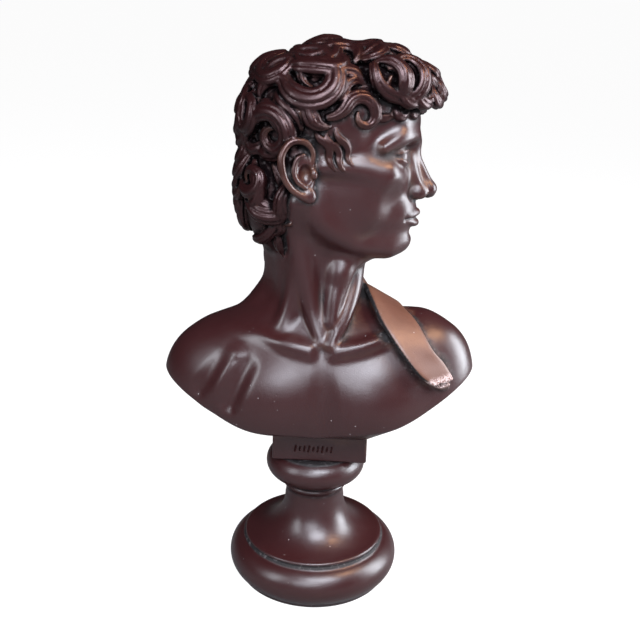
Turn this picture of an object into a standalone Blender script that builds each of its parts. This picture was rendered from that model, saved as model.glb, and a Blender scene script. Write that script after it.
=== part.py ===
"""A classical bust cast in one piece with its strap and name tablet, on a separate turned socle.

Metres, +Z up, the origin under the middle of the socle. The chest faces -Y and the head is turned
to its own left, so the face looks along +X. The figure is modelled in clay: a block of voxels that
holds a signed distance in millimetres, to which ellipsoids and limbs are added and from which
others are carved. The locks of hair and the strap are lofted along curves and melted onto the skin
with Remesh.
"""

import math

import bmesh
import bpy
import numpy as np
from mathutils import Matrix, Vector

MM = 0.001

# Driving sizes, in millimetres
HEIGHT = 380.0
HEAD = 127.0                # chin to crown of the skull
THIRD = HEAD / 3.5          # chin to nose, nose to brow, brow to hairline
EYE = HEAD * 2 / 3 / 5      # the head is five eyes wide
CHIN_HEIGHT = 246.0         # chin above the floor
HEAD_TILT = -5.0            # degrees, the crown away from the raised side
TABLET = (65.0, 48.0, 20.0)  # width, depth, height
TABLET_FOOT = 99.0
SHOULDER_RISE = 9.0         # the left shoulder is carried higher
SEAT_SHIFT = 3.5            # the casting sits a little to its left on the socle
GAP = 0.3
SOCLE_RADIUS = 61.0
CHEST = (105.0, 49.0, 59.0)  # half the width and depth, and the rise, of its ellipsoid
STRAP = (4.0, 20.0)         # thickness, depth of its web
SOCLE_SIDES = 36
SKIN_VOXEL = 1.6
MELT_VOXEL = 1.4
BUST_TRIANGLES = 7250


class Clay:
    """A block of voxels holding a signed distance in millimetres, negative inside the figure."""

    FAR = 40.0

    def __init__(self, low, high, voxel):
        self.low = np.array(low, float)
        self.voxel = voxel
        counts = np.ceil((np.array(high, float) - self.low) / voxel).astype(int) + 1
        self.field = np.full(counts, self.FAR, np.float32)

    def window(self, low, high):
        """The voxels between two corners: their slices, and their coordinates as open grids."""
        count = np.array(self.field.shape)
        first = np.clip(np.floor((low - self.low) / self.voxel).astype(int), 0, count)
        last = np.clip(np.ceil((high - self.low) / self.voxel).astype(int) + 1, first, count)
        slices = tuple(slice(a, b) for a, b in zip(first, last))
        ticks = [self.low[k] + self.voxel * np.arange(first[k], last[k]) for k in range(3)]
        return slices, np.meshgrid(*(t.astype(np.float32) for t in ticks), indexing="ij", sparse=True)

    def merge(self, slices, distance, blend, carve):
        """Melts a shape onto the clay, or carves it away, with a fillet about blend wide."""
        if distance.size == 0:
            return
        old, new = self.field[slices], (distance if not carve else -distance)
        sign = -1.0 if carve else 1.0
        share = np.clip(0.5 + sign * 0.5 * (old - new) / blend, 0.0, 1.0)
        self.field[slices] = old + (new - old) * share - sign * blend * share * (1.0 - share)

    def blob(self, centre, radii, blend, pose=Matrix(), turn=(0, 0, 0), carve=False):
        """An ellipsoid: centre and radii in the pose's frame, turned by three angles in degrees."""
        place = pose @ Matrix.Translation(centre) @ turned(turn)
        axes = np.array(place.to_3x3(), float)
        middle = np.array(place.translation, float)
        radii = np.array(radii, float)
        reach = np.sqrt((axes * radii) ** 2 @ np.ones(3)) + blend + 8.0
        slices, grid = self.window(middle - reach, middle + reach)
        steps = [g - m for g, m in zip(grid, middle)]
        local = [sum(axes[j, k] * steps[j] for j in range(3)) for k in range(3)]
        near = np.sqrt(sum((local[k] / radii[k]) ** 2 for k in range(3)))
        slope = np.sqrt(sum((local[k] / radii[k] ** 2) ** 2 for k in range(3)))
        self.merge(slices, near * (near - 1.0) / np.maximum(slope, 1e-6), blend, carve)

    def limb(self, points, radii, blend, pose=Matrix(), carve=False, steps=6):
        """A round limb of changing radius along a smooth curve through the points."""
        line = through([pose @ Vector(p) for p in points], steps)
        size = through([(r, 0, 0) for r in radii], steps)[:, 0]
        reach = size.max() + blend + 6.0
        slices, grid = self.window(line.min(0) - reach, line.max(0) + reach)
        nearest = np.full([s.stop - s.start for s in slices], self.FAR, np.float32)
        for a, b, ra, rb in zip(line[:-1], line[1:], size[:-1], size[1:]):
            run = b - a
            from_a = [g - c for g, c in zip(grid, a)]
            along = sum(f * r for f, r in zip(from_a, run)) / max(run @ run, 1e-9)
            along = np.clip(along, 0.0, 1.0)
            away = np.sqrt(sum((f - r * along) ** 2 for f, r in zip(from_a, run)))
            np.minimum(nearest, away - (ra + (rb - ra) * along), out=nearest)
        self.merge(slices, nearest, blend, carve)

    def cut(self, distance, blend=1.0):
        """Takes away everything where distance(x, y, z) is positive."""
        slices, grid = self.window(self.low, self.low + self.voxel * np.array(self.field.shape))
        self.merge(slices, -distance(*grid), blend, True)

    def hit(self, start, towards):
        """The first point of the skin on the way from start, and the skin's outward normal there."""
        start, way = Vector(start), (Vector(towards) - Vector(start))
        count = int(way.length / (self.voxel * 0.5))
        line = np.array([start + way * (i / count) for i in range(count + 1)])
        depth = self.sample(line)
        inside = np.flatnonzero(depth < 0)
        return self.settle(Vector(line[inside[0] if len(inside) else np.argmin(depth)]))

    def settle(self, point, tries=4):
        """Drops a point onto the skin, and gives the skin's outward normal there."""
        at = Vector(point)
        offsets = self.voxel * np.repeat(np.eye(3), 2, 0) * np.tile([[1], [-1]], (3, 1))
        for _ in range(tries):
            near = self.sample(np.vstack([[at], np.array(at) + offsets]))
            up = Vector(near[1::2] - near[2::2]).normalized()
            at = at - up * float(np.clip(near[0], -6, 6))
        return at, up

    def sample(self, points):
        """The distance at any points, between the voxels too."""
        place = (np.asarray(points, float) - self.low) / self.voxel
        place = np.clip(place, 0, np.array(self.field.shape) - 1.001)
        base = place.astype(int)
        part = place - base
        total = np.zeros(len(base))
        for corner in np.ndindex(2, 2, 2):
            share = np.prod(np.where(corner, part, 1 - part), axis=1)
            total += share * self.field[tuple((base + corner).T)]
        return total

    def skin(self, name):
        """The clay's surface as a mesh object: one point in each cell it crosses, joined in quads."""
        inside = self.field < 0
        cells = np.zeros(np.array(inside.shape) - 1, np.uint8)
        corners = list(np.ndindex(2, 2, 2))
        for i, j, k in corners:
            nx, ny, nz = cells.shape
            cells += inside[i:i + nx, j:j + ny, k:k + nz]
        crossed = np.argwhere((cells > 0) & (cells < 8))
        value = {c: self.field[tuple((crossed + c).T)] for c in corners}
        total, hits = np.zeros((len(crossed), 3)), np.zeros(len(crossed))
        for a in corners:
            for axis in range(3):
                if a[axis]:
                    continue
                b = tuple(1 if k == axis else a[k] for k in range(3))
                change = (value[a] < 0) != (value[b] < 0)
                share = np.where(change, value[a] / np.where(change, value[a] - value[b], 1), 0)
                point = np.array(a, float) + share[:, None] * np.eye(3)[axis]
                total += point * change[:, None]
                hits += change
        points = self.low + self.voxel * (crossed + total / hits[:, None])
        number = np.full(cells.shape, -1)
        number[tuple(crossed.T)] = np.arange(len(crossed))
        quads = []
        for axis in range(3):
            u, v = (axis + 1) % 3, (axis + 2) % 3
            here = np.argwhere(np.diff(inside.astype(np.int8), axis=axis) != 0)
            here = here[(here[:, u] > 0) & (here[:, v] > 0)]
            here = here[(here[:, u] < cells.shape[u]) & (here[:, v] < cells.shape[v])]
            side_u, side_v = np.eye(3, dtype=int)[u], np.eye(3, dtype=int)[v]
            ring = [here - side_u - side_v, here - side_v, here, here - side_u]
            quad = np.stack([number[tuple(r.T)] for r in ring], 1)
            outward = inside[tuple(here.T)]
            quads.append(np.where(outward[:, None], quad, quad[:, ::-1]))
        mesh = bpy.data.meshes.new(name)
        mesh.from_pydata(points * MM, [], np.concatenate(quads))
        return linked(name, mesh)


def turned(degrees):
    x, y, z = (math.radians(d) for d in degrees)
    return Matrix.Rotation(z, 4, "Z") @ Matrix.Rotation(y, 4, "Y") @ Matrix.Rotation(x, 4, "X")


def through(points, steps):
    """A smooth curve through the points, with so many steps from each to the next."""
    p = np.array([tuple(q) for q in points], float)
    p = np.concatenate([[2 * p[0] - p[1]], p, [2 * p[-1] - p[-2]]])
    made = []
    for i in range(1, len(p) - 2):
        for s in range(steps):
            t = s / steps
            a, b, c, d = p[i - 1], p[i], p[i + 1], p[i + 2]
            made.append(0.5 * (2 * b + (c - a) * t + (2 * a - 5 * b + 4 * c - d) * t ** 2
                               + (3 * b - a - 3 * c + d) * t ** 3))
    return np.array(made + [p[-2]])


def linked(name, mesh):
    made = bpy.data.objects.new(name, mesh)
    bpy.context.scene.collection.objects.link(made)
    return made


def head_pose():
    """The head's own frame: x to the front of the face, y to its left ear, z up, 0 under the chin."""
    return Matrix.Translation((3, -7, CHIN_HEIGHT)) @ Matrix.Rotation(math.radians(HEAD_TILT), 4, "X")


def sculpt_skull(clay, head):
    """The cranium, the planes of the face, the jaw and the cheekbones."""
    clay.blob((-6, 0, 84), (45, 42.5, 43), 4, head)
    clay.blob((21, 0, 84), (36, 34, 31), 10, head)
    clay.blob((20, 0, 52), (33, 30, 40), 12, head)
    clay.blob((27, 0, 25), (26, 21, 23), 10, head)
    clay.blob((46, 0, 9.5), (9, 10, 9), 8, head)
    clay.blob((38, 0, 29), (19, 17, 14), 8, head)
    for side in (-1, 1):
        clay.limb([(-6, side * 28, 42), (-3, side * 28, 26), (16, side * 20, 10), (38, side * 9, 5)],
                  [8, 7.5, 6.5, 6], 12, head)
        clay.blob((15, side * 23, 42), (22, 10, 25), 10, head)
        clay.blob((36, side * 21, 50), (11, 9, 9), 10, head)
        clay.limb([(36, side * 27, 54), (18, side * 33, 57), (-2, side * 37, 58)], [4, 3.6, 4], 9, head)
        clay.blob((40, side * 37, 80), (15, 7, 13), 10, head, carve=True)
        clay.blob((50, side * 30, 34), (10, 6, 12), 10, head, carve=True)


def sculpt_eyes(clay, head):
    """Sockets, brows, eyeballs, and lids that part in an almond, one eye's width apart."""
    line = HEAD / 2
    for side in (-1, 1):
        clay.limb([(53, side * 4, 72), (52, side * 13, 75.5), (45, side * 24, 75.5), (35, side * 31, 70)],
                  [3.2, 3.4, 3.2, 2], 8, head)
        clay.blob((58, side * 15.5, line + 1), (14, 11, 7.5), 6, head, carve=True, turn=(0, 0, side * 16))
        clay.blob((58, side * 9, line - 2), (8, 4, 7), 5, head, carve=True)
        ball = head @ Vector((42.6, side * EYE, line))
        clay.blob(ball, (7.3, 7.3, 7.3), 0.6)
        part_lids(clay, head, ball, side)


def part_lids(clay, head, ball, side):
    """A shell over the eyeball, open along an almond as wide as the eye."""
    slices, grid = clay.window(np.array(ball) - 14, np.array(ball) + 14)
    axes = np.array(head.to_3x3(), float)
    steps = [g - c for g, c in zip(grid, ball)]
    front, left, up = (sum(axes[j, k] * steps[j] for j in range(3)) for k in range(3))
    across = side * left / (EYE * 0.52)
    arch = np.maximum(1 - across ** 2, 0)
    above = up - (3.3 * arch ** 0.8 + 0.7 * across)
    below = (-2.7 * arch ** 0.9 + 0.7 * across) - up
    closed = np.maximum(above, below)
    shell = np.sqrt(front ** 2 + left ** 2 + up ** 2) - 8.5
    rim = np.maximum(shell, 0.3 - closed) + 0.6 * np.clip(1 - abs(shell) - abs(closed - 0.3), 0, 1)
    clay.merge(slices, rim.astype(np.float32), 1.4, False)


def sculpt_nose(clay, head):
    """The bridge, the ball, the wings and the nostrils."""
    clay.limb([(52, 0, 71), (56.2, 0, 61), (61.5, 0, 50), (64.5, 0, 43.5)], [3.6, 2.9, 3.3, 4.2], 5, head)
    clay.blob((63.8, 0, 42.2), (5.6, 5.2, 4.6), 3, head)
    clay.limb([(66, 0, 39.4), (60, 0, 36.8), (56, 0, 35.4)], [1.9, 1.7, 1.6], 2, head)
    clay.limb([(56, 0, 34), (57.4, 0, 29.5)], [1, 1], 2, head, carve=True)
    for side in (-1, 1):
        clay.limb([(50, side * 4.5, 62), (54, side * 5.5, 52), (57, side * 6, 45)], [3, 3.2, 3], 6, head)
        clay.blob((57.8, side * 6.6, 40.6), (5.8, 3.4, 4.4), 2, head, turn=(0, 0, side * -8))
        clay.limb([(58.5, side * 9.8, 45.8), (54.2, side * 11, 44.6), (51.6, side * 11, 40.5),
                   (52.8, side * 9.4, 36.2)], [0.4, 0.8, 1.0, 0.6], 1.6, head, carve=True)
        clay.limb([(62.4, side * 3.3, 37.6), (59.6, side * 4.5, 37), (56.6, side * 5, 37.2)],
                  [1.1, 1.6, 1.1], 0.8, head, carve=True)


def sculpt_mouth(clay, head):
    """Closed lips, 1.5 eyes wide, with the groove above and the hollow below."""
    half = EYE * 0.75
    line = THIRD * 2 / 3
    upper = [(49.5, -half, line + 0.2), (54.6, -half * 0.55, line + 2.2), (57.6, -2.2, line + 3.4),
             (57.2, 0, line + 2.7), (57.6, 2.2, line + 3.4), (54.6, half * 0.55, line + 2.2),
             (49.5, half, line + 0.2)]
    lower = [(49.6, -half * 0.86, line - 1), (54.6, -half * 0.45, line - 2.8), (56.6, 0, line - 3.6),
             (54.6, half * 0.45, line - 2.8), (49.6, half * 0.86, line - 1)]
    clay.limb(upper, [0.8, 2.0, 2.2, 2.0, 2.2, 2.0, 0.8], 1.4, head)
    clay.limb(lower, [1.0, 2.4, 2.9, 2.4, 1.0], 1.6, head)
    parting = [(50, -half - 0.8, line - 0.4), (54.5, -half * 0.72, line + 0.1), (58.6, -half * 0.3, line + 0.3),
               (60.2, 0, line - 0.4), (58.6, half * 0.3, line + 0.3), (54.5, half * 0.72, line + 0.1),
               (50, half + 0.8, line - 0.4)]
    clay.limb(parting, [0.9, 0.7, 0.6, 0.6, 0.6, 0.7, 0.9], 0.7, head, carve=True)
    clay.blob((61, 0, THIRD - 3), (3, 1.7, 4), 2, head, carve=True)
    clay.blob((60.5, 0, line - 9.6), (6.5, 9, 2.6), 3.5, head, carve=True)
    for side in (-1, 1):
        clay.blob((53, side * (half + 1.6), line - 0.6), (2.6, 1.4, 2.4), 2.5, head, carve=True)


def sculpt_ear(clay, head, side):
    """The rim, the inner folds, the bowl and the lobe of one ear."""
    root = head @ Matrix.Translation((-15, side * 41.0, THIRD * 1.5 + 1)) @ turned((0, 0, side * -20)) @ turned((0, -12, 0))

    def p(x, z, y):
        return (x, side * y, z)

    clay.blob(p(-1, 0, 0.5), (9.5, 4.5, 16), 3, root)
    clay.limb([p(6, 1, 2), p(8, 9.5, 3.5), p(4, 16.5, 4.8), p(-5, 18, 5.2), p(-12, 11, 5.8), p(-12.5, 0, 5.8),
               p(-9, -9, 4.8), p(-3, -15, 3.6)], [1.5, 1.9, 2.1, 2.2, 2.3, 2.2, 2.0, 2.4], 1.2, root)
    clay.blob(p(1.5, -15.8, 2.8), (4.4, 2.8, 4.8), 2.5, root)
    clay.blob(p(1.5, -2.5, 6.5), (5.0, 6.5, 6.6), 1.2, root, carve=True)
    clay.limb([p(3, 12, 6.2), p(-5, 13, 6.4), p(-8.8, 6, 6.6), p(-8.8, -2, 6.4), p(-5, -8, 5.6)],
              [1.3, 1.4, 1.4, 1.4, 1.2], 0.9, root, carve=True)
    clay.limb([p(2, 9, 4), p(-3, 7.5, 4.8), p(-6, 1, 5), p(-5, -5, 4.8), p(-1, -9.5, 4.4)],
              [1.4, 1.6, 1.6, 1.6, 1.6], 1.0, root)
    clay.blob(p(6.5, -3.5, 3.8), (2.0, 2.2, 3.4), 1.2, root)


def sculpt_neck(clay, head):
    """The neck, twisted with the head: throat, windpipe, the long neck muscles and the nape."""
    clay.limb([(-6, 8, 165), (-5, 5, 205), (-5, 2, 240), (-7, 0, 285)], [38, 29, 28, 32], 14)
    clay.blob((20, -2, 251), (22, 20, 10), 8)
    clay.limb([(24, -4, 250), (16, -18, 240), (11, -24, 224), (8, -31, 205)], [9, 8, 7, 5], 8)
    near_ear = head @ Vector((-16, -33, 36))
    far_ear = head @ Vector((-16, 33, 36))
    clay.limb([near_ear, (-14, -25, 262), (-9, -24, 236), (-4, -26, 212), (3, -35, 193)],
              [8, 8, 7, 6, 3.5], 4)
    clay.limb([(-13, -21, 240), (-17, -21, 218), (-22, -23, 200), (-27, -24, 188)], [6, 5.5, 4.5, 3.5], 7)
    clay.limb([far_ear, (18, 14, 256), (22, -6, 230), (17, -26, 207), (9, -37, 192)], [8, 7, 6.5, 5, 3.5], 4)
    clay.limb([(-34, 2, 290), (-29, 6, 250), (-27, 12, 220), (-36, 16, 196)], [12, 11, 13, 16], 8)
    clay.limb([(3, -45, 232), (3, -41, 212), (4, -44, 198)], [7, 6, 4.5], 7, carve=True)
    clay.blob((13, -13, 250), (10, 11, 7), 6)
    clay.blob((13, -22, 236), (7, 7, 8), 5)


def sculpt_torso(clay):
    """Chest, back, shoulders and collarbones, cut to a shallow bowl above the tablet."""
    reach, deep, rise = CHEST
    clay.blob((0, 0, 150), (reach, deep, rise), 4)
    for side, lift in ((-1, -3), (1, SHOULDER_RISE)):
        clay.blob((side * 70 + 1, 1, 157 + lift), (34, 26, 35), 10)
        clay.blob((side * 35 + 3, -27, 146), (33, 23, 32), 10, turn=(0, 0, side * 12))
        clay.limb([(side * 16, 14, 212), (side * 40, 12, 189), (side * 66, 8, 178 + lift)], [15, 13, 14], 12)
        clay.blob((side * 44, 34, 160), (34, 16, 30), 12, turn=(0, 0, side * -10))
        clay.limb([(4 + side * 8, -38, 187), (4 + side * 24, -35.8, 190), (5 + side * 42, -26, 193.5),
                   (5 + side * 62, -12, 189)], [3.2, 3.4, 3.2, 3], 8)
    clay.limb([(-58, -22, 206), (-40, -30, 204), (-27, -34, 201)], [6, 6, 4], 8, carve=True)
    clay.limb([(26, -36, 201), (42, -28, 206)], [4, 5], 6, carve=True)
    clay.blob((4, -46, 190), (6, 5, 6), 6, carve=True)
    clay.limb([(-70, -31, 182), (-63, -35, 180.5), (-54, -37, 178)], [1.4, 2.4, 1.6], 4, carve=True)
    clay.limb([(-52, -31, 177), (-61, -33, 163), (-68, -30, 149), (-73, -25, 140)], [3.4, 4, 3.8, 3], 9)
    clay.limb([(-46, -43, 176), (-52, -44.5, 162), (-57, -44.5, 148)], [3, 3.6, 3], 9, carve=True)
    clay.limb([(-66, -38, 177), (-73, -38, 164), (-79, -36, 154)], [2.2, 2.6, 2.2], 9, carve=True)
    clay.limb([(5, -50, 180), (6, -54, 158), (7, -54, 138), (7, -52, 124)], [3, 4.4, 4.4, 4], 9, carve=True)
    clay.limb([(0, 52, 190), (0, 57, 160), (0, 57, 125)], [4, 5, 5], 12, carve=True)
    for side in (-1, 1):
        clay.limb([(side * 52, 34, 186), (side * 40, 44, 168), (side * 30, 46, 150)], [3, 4, 3], 10, carve=True)
    clay.cut(underside, 1.2)


def underside(x, y, z):
    """Positive under the shallow bowl that ends the bust, which rises outwards from the tablet."""
    width, depth, height = TABLET
    out = np.hypot(np.maximum(abs(x - 1) - width / 2, 0), np.maximum(abs(y) - depth / 2, 0))
    slope = 0.49 + 0.18 * np.clip(x / 40, 0, 1) + 0.05 * np.clip(-x / 40, 0, 1)
    return (TABLET_FOOT + height - 2 + slope * out - z) / math.hypot(1, 0.49)


def sculpt_hair(clay, head):
    """A cap of hair, locks that walk over it, and the curls that stand forward over the brow."""
    clay.blob((-8, 0, 87), (46, 44.5, 41), 4, head)
    clay.blob((-35, 0, 42), (19, 30, 42), 8, head)
    clay.blob((33, 0, 111), (27, 34, 13), 6, head, turn=(0, 12, 0))
    paths = []
    for start, heading, bends, thick, lift in lock_plan():
        paths.append((walk(clay, head, start, heading, bends, lift, 2.4)[0], thick * 0.85))
    for points, thick in quiff_plan():
        paths.append((through([head @ Vector(p) for p in points], 3), thick * 0.9))
    for line, thick in paths:
        t = np.linspace(0, 1, len(line))
        shape = np.minimum(1, 0.5 + 2.2 * t) * np.minimum(1, 0.3 + 1.8 * (1 - t))
        clay.limb(line, thick * shape, 0.8, steps=1)


def quiff_plan():
    """The curls that stand forward over the brow, each a spiral on a tail from the crown."""
    chance = np.random.default_rng(5)
    for reach, height, count, spread, size, thick in ((66, 107, 7, 52, 8.6, 5.0), (48, 118, 6, 60, 8.0, 5.2),
                                                      (56, 98, 8, 46, 5.0, 3.8)):
        for k in range(count):
            around = math.radians(-spread + 2 * spread * (k + chance.uniform(-0.2, 0.2)) / (count - 1))
            centre = Vector((10 + (reach - 10) * math.cos(around), 36 * math.sin(around),
                             height - 7 * abs(math.sin(around)) + chance.uniform(-2, 2)))
            left = Vector((-math.sin(around), math.cos(around), 0))
            up = Vector((-0.45 * math.cos(around), -0.45 * math.sin(around), 0.9))
            hand = chance.choice([-1, 1])
            line = [centre * 0.62 + Vector((2, 0, 50)) + left * chance.uniform(-5, 5)]
            line.append((line[0] + centre + up * size) / 2 + Vector((0, 0, 4)) - left * hand * 3)
            for t in np.linspace(0, 1, 9):
                angle = hand * math.radians(90 - 430 * t)
                far = size * (1 - 0.72 * t)
                line.append(centre + left * (far * math.cos(angle)) + up * (far * hand * math.sin(angle)))
            yield line, thick


def lock_plan():
    """Every lock: where it starts on the head, its heading (0 falls from the crown, 90 turns left of
    that), its bends (length, turn), its half width, and its lift at the root, middle and tip."""
    side_locks = [
        ((-46, 96), 170, ((40, -230),), 5.4, (0, 2, 1)),
        ((-42, 106), 180, ((30, -130),), 5.2, (0, 3, 1)),
        ((-45, 92), 90, ((30, -110),), 5.6, (0, 2, 1)),
        ((-48, 66), 60, ((36, 120),), 5.4, (0, 2, 0)),
        ((-50, 78), 150, ((60, -280), (16, -150)), 6.2, (1, 3, 1)),
        ((-28, 116), 345, ((68, 280), (20, 140)), 7.2, (1, 3, 1)),
        ((-29, 119), 65, ((26, 20), (22, 200)), 6.2, (1, 4, 3)),
        ((-31, 122), 135, ((20, -50), (26, -210)), 5.6, (1, 3, 2)),
        ((-9, 129), 120, ((18, -40), (24, -200)), 5.4, (1, 3, 2)),
        ((8, 134), 100, ((14, -50), (36, -270)), 5.4, (1, 3, 2)),
        ((22, 130), 60, ((14, 40), (34, 230)), 5.2, (2, 4, 2)),
        ((-2, 104), 150, ((34, -145),), 5.2, (1, 3, 1)),
        ((-1, 96), 85, ((14, 50), (20, -130)), 4.6, (1, 2, 1)),
        ((0, 87), 75, ((14, 55), (14, -80), (30, -260)), 4.8, (1, 2, 1)),
        ((25, 96), 335, ((26, 150),), 3.2, (0, 1, 0)),
        ((30, 123), 50, ((34, -130),), 4.8, (2, 4, 2)),
        ((38, 119), 60, ((32, -300),), 4.2, (2, 4, 3)),
        ((29, 121), 310, ((24, 35), (42, 240)), 6.2, (2, 4, 3)),
        ((-50, 58), 10, ((14, 20), (12, -70), (18, 140)), 4.8, (1, 2, 1)),
        ((-36, 58), 20, ((12, 20), (14, -70), (20, 160)), 4.2, (1, 1, 1)),
        ((-47, 44), 0, ((10, 30), (16, 110)), 4.4, (1, 1, 0)),
        ((-44, 28), 110, ((32, -260),), 4.6, (1, 1, 0)),
        ((-34, 33), 20, ((14, -30), (22, -30), (12, 40)), 4.2, (1, 1, 0)),
        ((-36, 14), 20, ((20, 15),), 3.8, (0, 1, 0)),
        ((-20, 98), 60, ((14, -60), (14, 80)), 5.6, (0, 2, 0)),
        ((-32, 100), 10, ((14, 40), (16, -80)), 5.4, (0, 2, 0)),
        ((-7, 80), -20, ((9, 60), (10, -70), (11, 60)), 2.8, (0, 1, 0)),
        ((-1, 78), -20, ((9, 60), (10, -70), (9, 60)), 2.7, (0, 1, 0)),
        ((5, 80), -20, ((9, 60), (10, -70), (7, 60)), 2.6, (0, 1, 0)),
    ]
    for (x, z), heading, bends, thick, lift in side_locks:
        yield (x, -52, z), heading, bends, thick, lift
        yield (x, 52, z - 2), -heading, tuple((run, -turn) for run, turn in bends), thick, lift
    chance = np.random.default_rng(7)
    for k in range(34):
        if k < 12:
            start = (-38 + 18 * (k % 4), -14 + 15 * (k // 4), 140)
        else:
            start = (-70, -30 + 20 * (k % 4) + 10 * (k // 4 % 2), 116 - 19 * ((k - 12) // 4))
        turn = chance.choice([-1, 1])
        size = chance.uniform(0.85, 1.15)
        sweep = turn * chance.uniform(200, 330)
        yield start, chance.uniform(-60, 60), ((12 * size, sweep * 0.1), (42 * size, sweep)), 5.4 * size, (0, 3, 2)


def walk(clay, head, start, heading, bends, lift, step=1.6):
    """A line over the skin: it starts under the given point of the head and turns as it goes."""
    crown, aim = head @ Vector((-22, 0, 128)), head @ Vector((-6, 0, 72))
    if abs(start[1]) > 50:
        aim = head @ Vector((start[0] * 0.75, 0, start[2] - 0.6 * max(start[2] - 100, 0)))
    at, up = clay.hit(head @ Vector(start), aim)
    fall = (at - crown) - (at - crown).dot(up) * up
    way = Matrix.Rotation(math.radians(heading), 3, up) @ fall.normalized()
    turns = []
    for run, turn in bends:
        count = max(2, round(run / step))
        tighter = np.linspace(0.6, 1.4, count) if abs(turn) > 150 else np.ones(count)
        turns += [(run / count, turn / count * share) for share in tighter]
    line, normals = [at + up * lift[0]], [up]
    root, middle, tip = lift
    for k, (run, turn) in enumerate(turns):
        way = Matrix.Rotation(math.radians(turn), 3, up) @ way
        at, up = clay.settle(at + way * run)
        way = (way - way.dot(up) * up).normalized()
        t = (k + 1) / len(turns)
        rise = root * (1 - t) ** 2 + 2 * (2 * middle - (root + tip) / 2) * t * (1 - t) + tip * t ** 2
        line.append(at + up * rise)
        normals.append(up)
    return line, normals


def loft(name, rings):
    """A closed mesh object over rings of points, capped at both ends."""
    rings = np.array(rings, float)
    count, sides = rings.shape[:2]
    faces = [[i * sides + k, i * sides + (k + 1) % sides, (i + 1) * sides + (k + 1) % sides, (i + 1) * sides + k]
             for i in range(count - 1) for k in range(sides)]
    faces += [list(range(sides))[::-1], [(count - 1) * sides + k for k in range(sides)]]
    mesh = bpy.data.meshes.new(name)
    mesh.from_pydata(rings.reshape(-1, 3) * MM, [], faces)
    return linked(name, mesh)


def lay_strap():
    """The strap over the left shoulder: a flat band between two rails, standing off on a narrower web."""
    inner = [(74, -39, 167), (64, -41, 176), (52, -36, 190), (41, -26, 203), (33, -10, 214), (28, 8, 217),
             (23, 28, 205), (13, 41, 186), (0, 47, 162), (-10, 46, 140)]
    outer = [(88.5, -29.5, 168.5), (82, -28, 178), (74, -28, 187), (65, -18, 199), (57, -5, 203), (51, 12, 203),
             (46, 30, 192), (35, 42, 176), (22, 47, 156), (12, 47, 136)]
    rails = [through(rail, 5) for rail in (inner, outer)]
    thick, stand = STRAP
    pieces = []
    for name, narrow, low, high in (("strap", 0.0, 0, thick), ("web", 0.26, -stand, 1)):
        rings = []
        for i in range(len(rails[0])):
            a, b = rails[0][i], rails[1][i]
            ahead = (rails[0] + rails[1])[min(i + 1, len(rails[0]) - 1)] - (rails[0] + rails[1])[max(i - 1, 0)]
            up = np.cross(b - a, ahead)
            up = up / np.linalg.norm(up)
            first, last = a + (b - a) * narrow, b - (b - a) * narrow * 0.5
            rings.append([first + up * low, last + up * low, last + up * high, first + up * high])
        pieces.append(loft(name, rings))
    return pieces


def melted(name, pieces, voxel, triangles):
    """Joins closed pieces, melts them to one skin on a voxel grid and thins it."""
    bpy.ops.object.select_all(action="DESELECT")
    for piece in pieces:
        piece.select_set(True)
    bpy.context.view_layer.objects.active = pieces[0]
    if len(pieces) > 1:
        bpy.ops.object.join()
    whole = bpy.context.view_layer.objects.active
    whole.name = whole.data.name = name
    melt = whole.modifiers.new("melt", "REMESH")
    melt.mode = "VOXEL"
    melt.voxel_size = voxel * MM
    bpy.ops.object.modifier_apply(modifier=melt.name)
    for count in (4 * triangles, 2 * triangles, triangles):
        thin = whole.modifiers.new("thin", "DECIMATE")
        thin.ratio = count / sum(len(face.vertices) - 2 for face in whole.data.polygons)
        bpy.ops.object.modifier_apply(modifier=thin.name)
    return whole


def name_tablet():
    """The block under the chest, its corners worn; it runs up into the casting."""
    width, depth, height = TABLET
    bpy.ops.mesh.primitive_cube_add(size=1)
    block = bpy.context.object
    block.name = block.data.name = "tablet"
    block.data.transform(Matrix.Translation((SEAT_SHIFT * MM, 0, (TABLET_FOOT + height / 2) * MM))
                         @ Matrix.Diagonal((width * MM, depth * MM, height * MM, 1)))
    edge = block.modifiers.new("worn_corners", "BEVEL")
    edge.width = 1.2 * MM
    edge.segments = 1
    bpy.ops.object.modifier_apply(modifier=edge.name)
    return block


def unite(whole, other):
    join = whole.modifiers.new("unite", "BOOLEAN")
    join.operation = "UNION"
    join.object = other
    bpy.context.view_layer.objects.active = whole
    bpy.ops.object.modifier_apply(modifier=join.name)
    bpy.data.objects.remove(other, do_unlink=True)


def arc(centre, radius, first, last, steps):
    angles = np.radians(np.linspace(first, last, steps + 1))
    return [(centre[0] + radius * math.cos(a), centre[1] + radius * math.sin(a)) for a in angles]


def turn_socle():
    """The turned foot: a cushion cap, a ringed stem, a hollow flare and a thick rounded base."""
    top = TABLET_FOOT - GAP
    profile = [(0, top), (29, top), (30.2, top - 2.0)]
    profile += arc((24.5, 88.5), 10.5, 60, -75, 6)
    profile += [(23.6, 75.5), (23.2, 74.0)]
    profile += arc((20.8, 72.0), 1.9, 50, -50, 2)
    profile += [(20.7, 69.0), (20.4, 66.5), (20.6, 62.0)]
    profile += arc((49.6, 61.5), 28.5, 180, 268, 6)
    profile += [(49.8, 30.0), (50.8, 28.9)]
    profile += arc((SOCLE_RADIUS - 14.2, 14.8), 14.2, 70, -52, 7)
    profile += [(SOCLE_RADIUS - 6.8, 0.8), (SOCLE_RADIUS - 8.0, 0), (0, 0)]
    mesh = bpy.data.meshes.new("socle")
    mesh.from_pydata([(r * MM, 0, z * MM) for r, z in profile], [(i, i + 1) for i in range(len(profile) - 1)], [])
    socle = linked("socle", mesh)
    spin = socle.modifiers.new("turned", "SCREW")
    spin.steps = spin.render_steps = SOCLE_SIDES
    spin.use_merge_vertices = True
    spin.merge_threshold = 0.00001
    return socle


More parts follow.
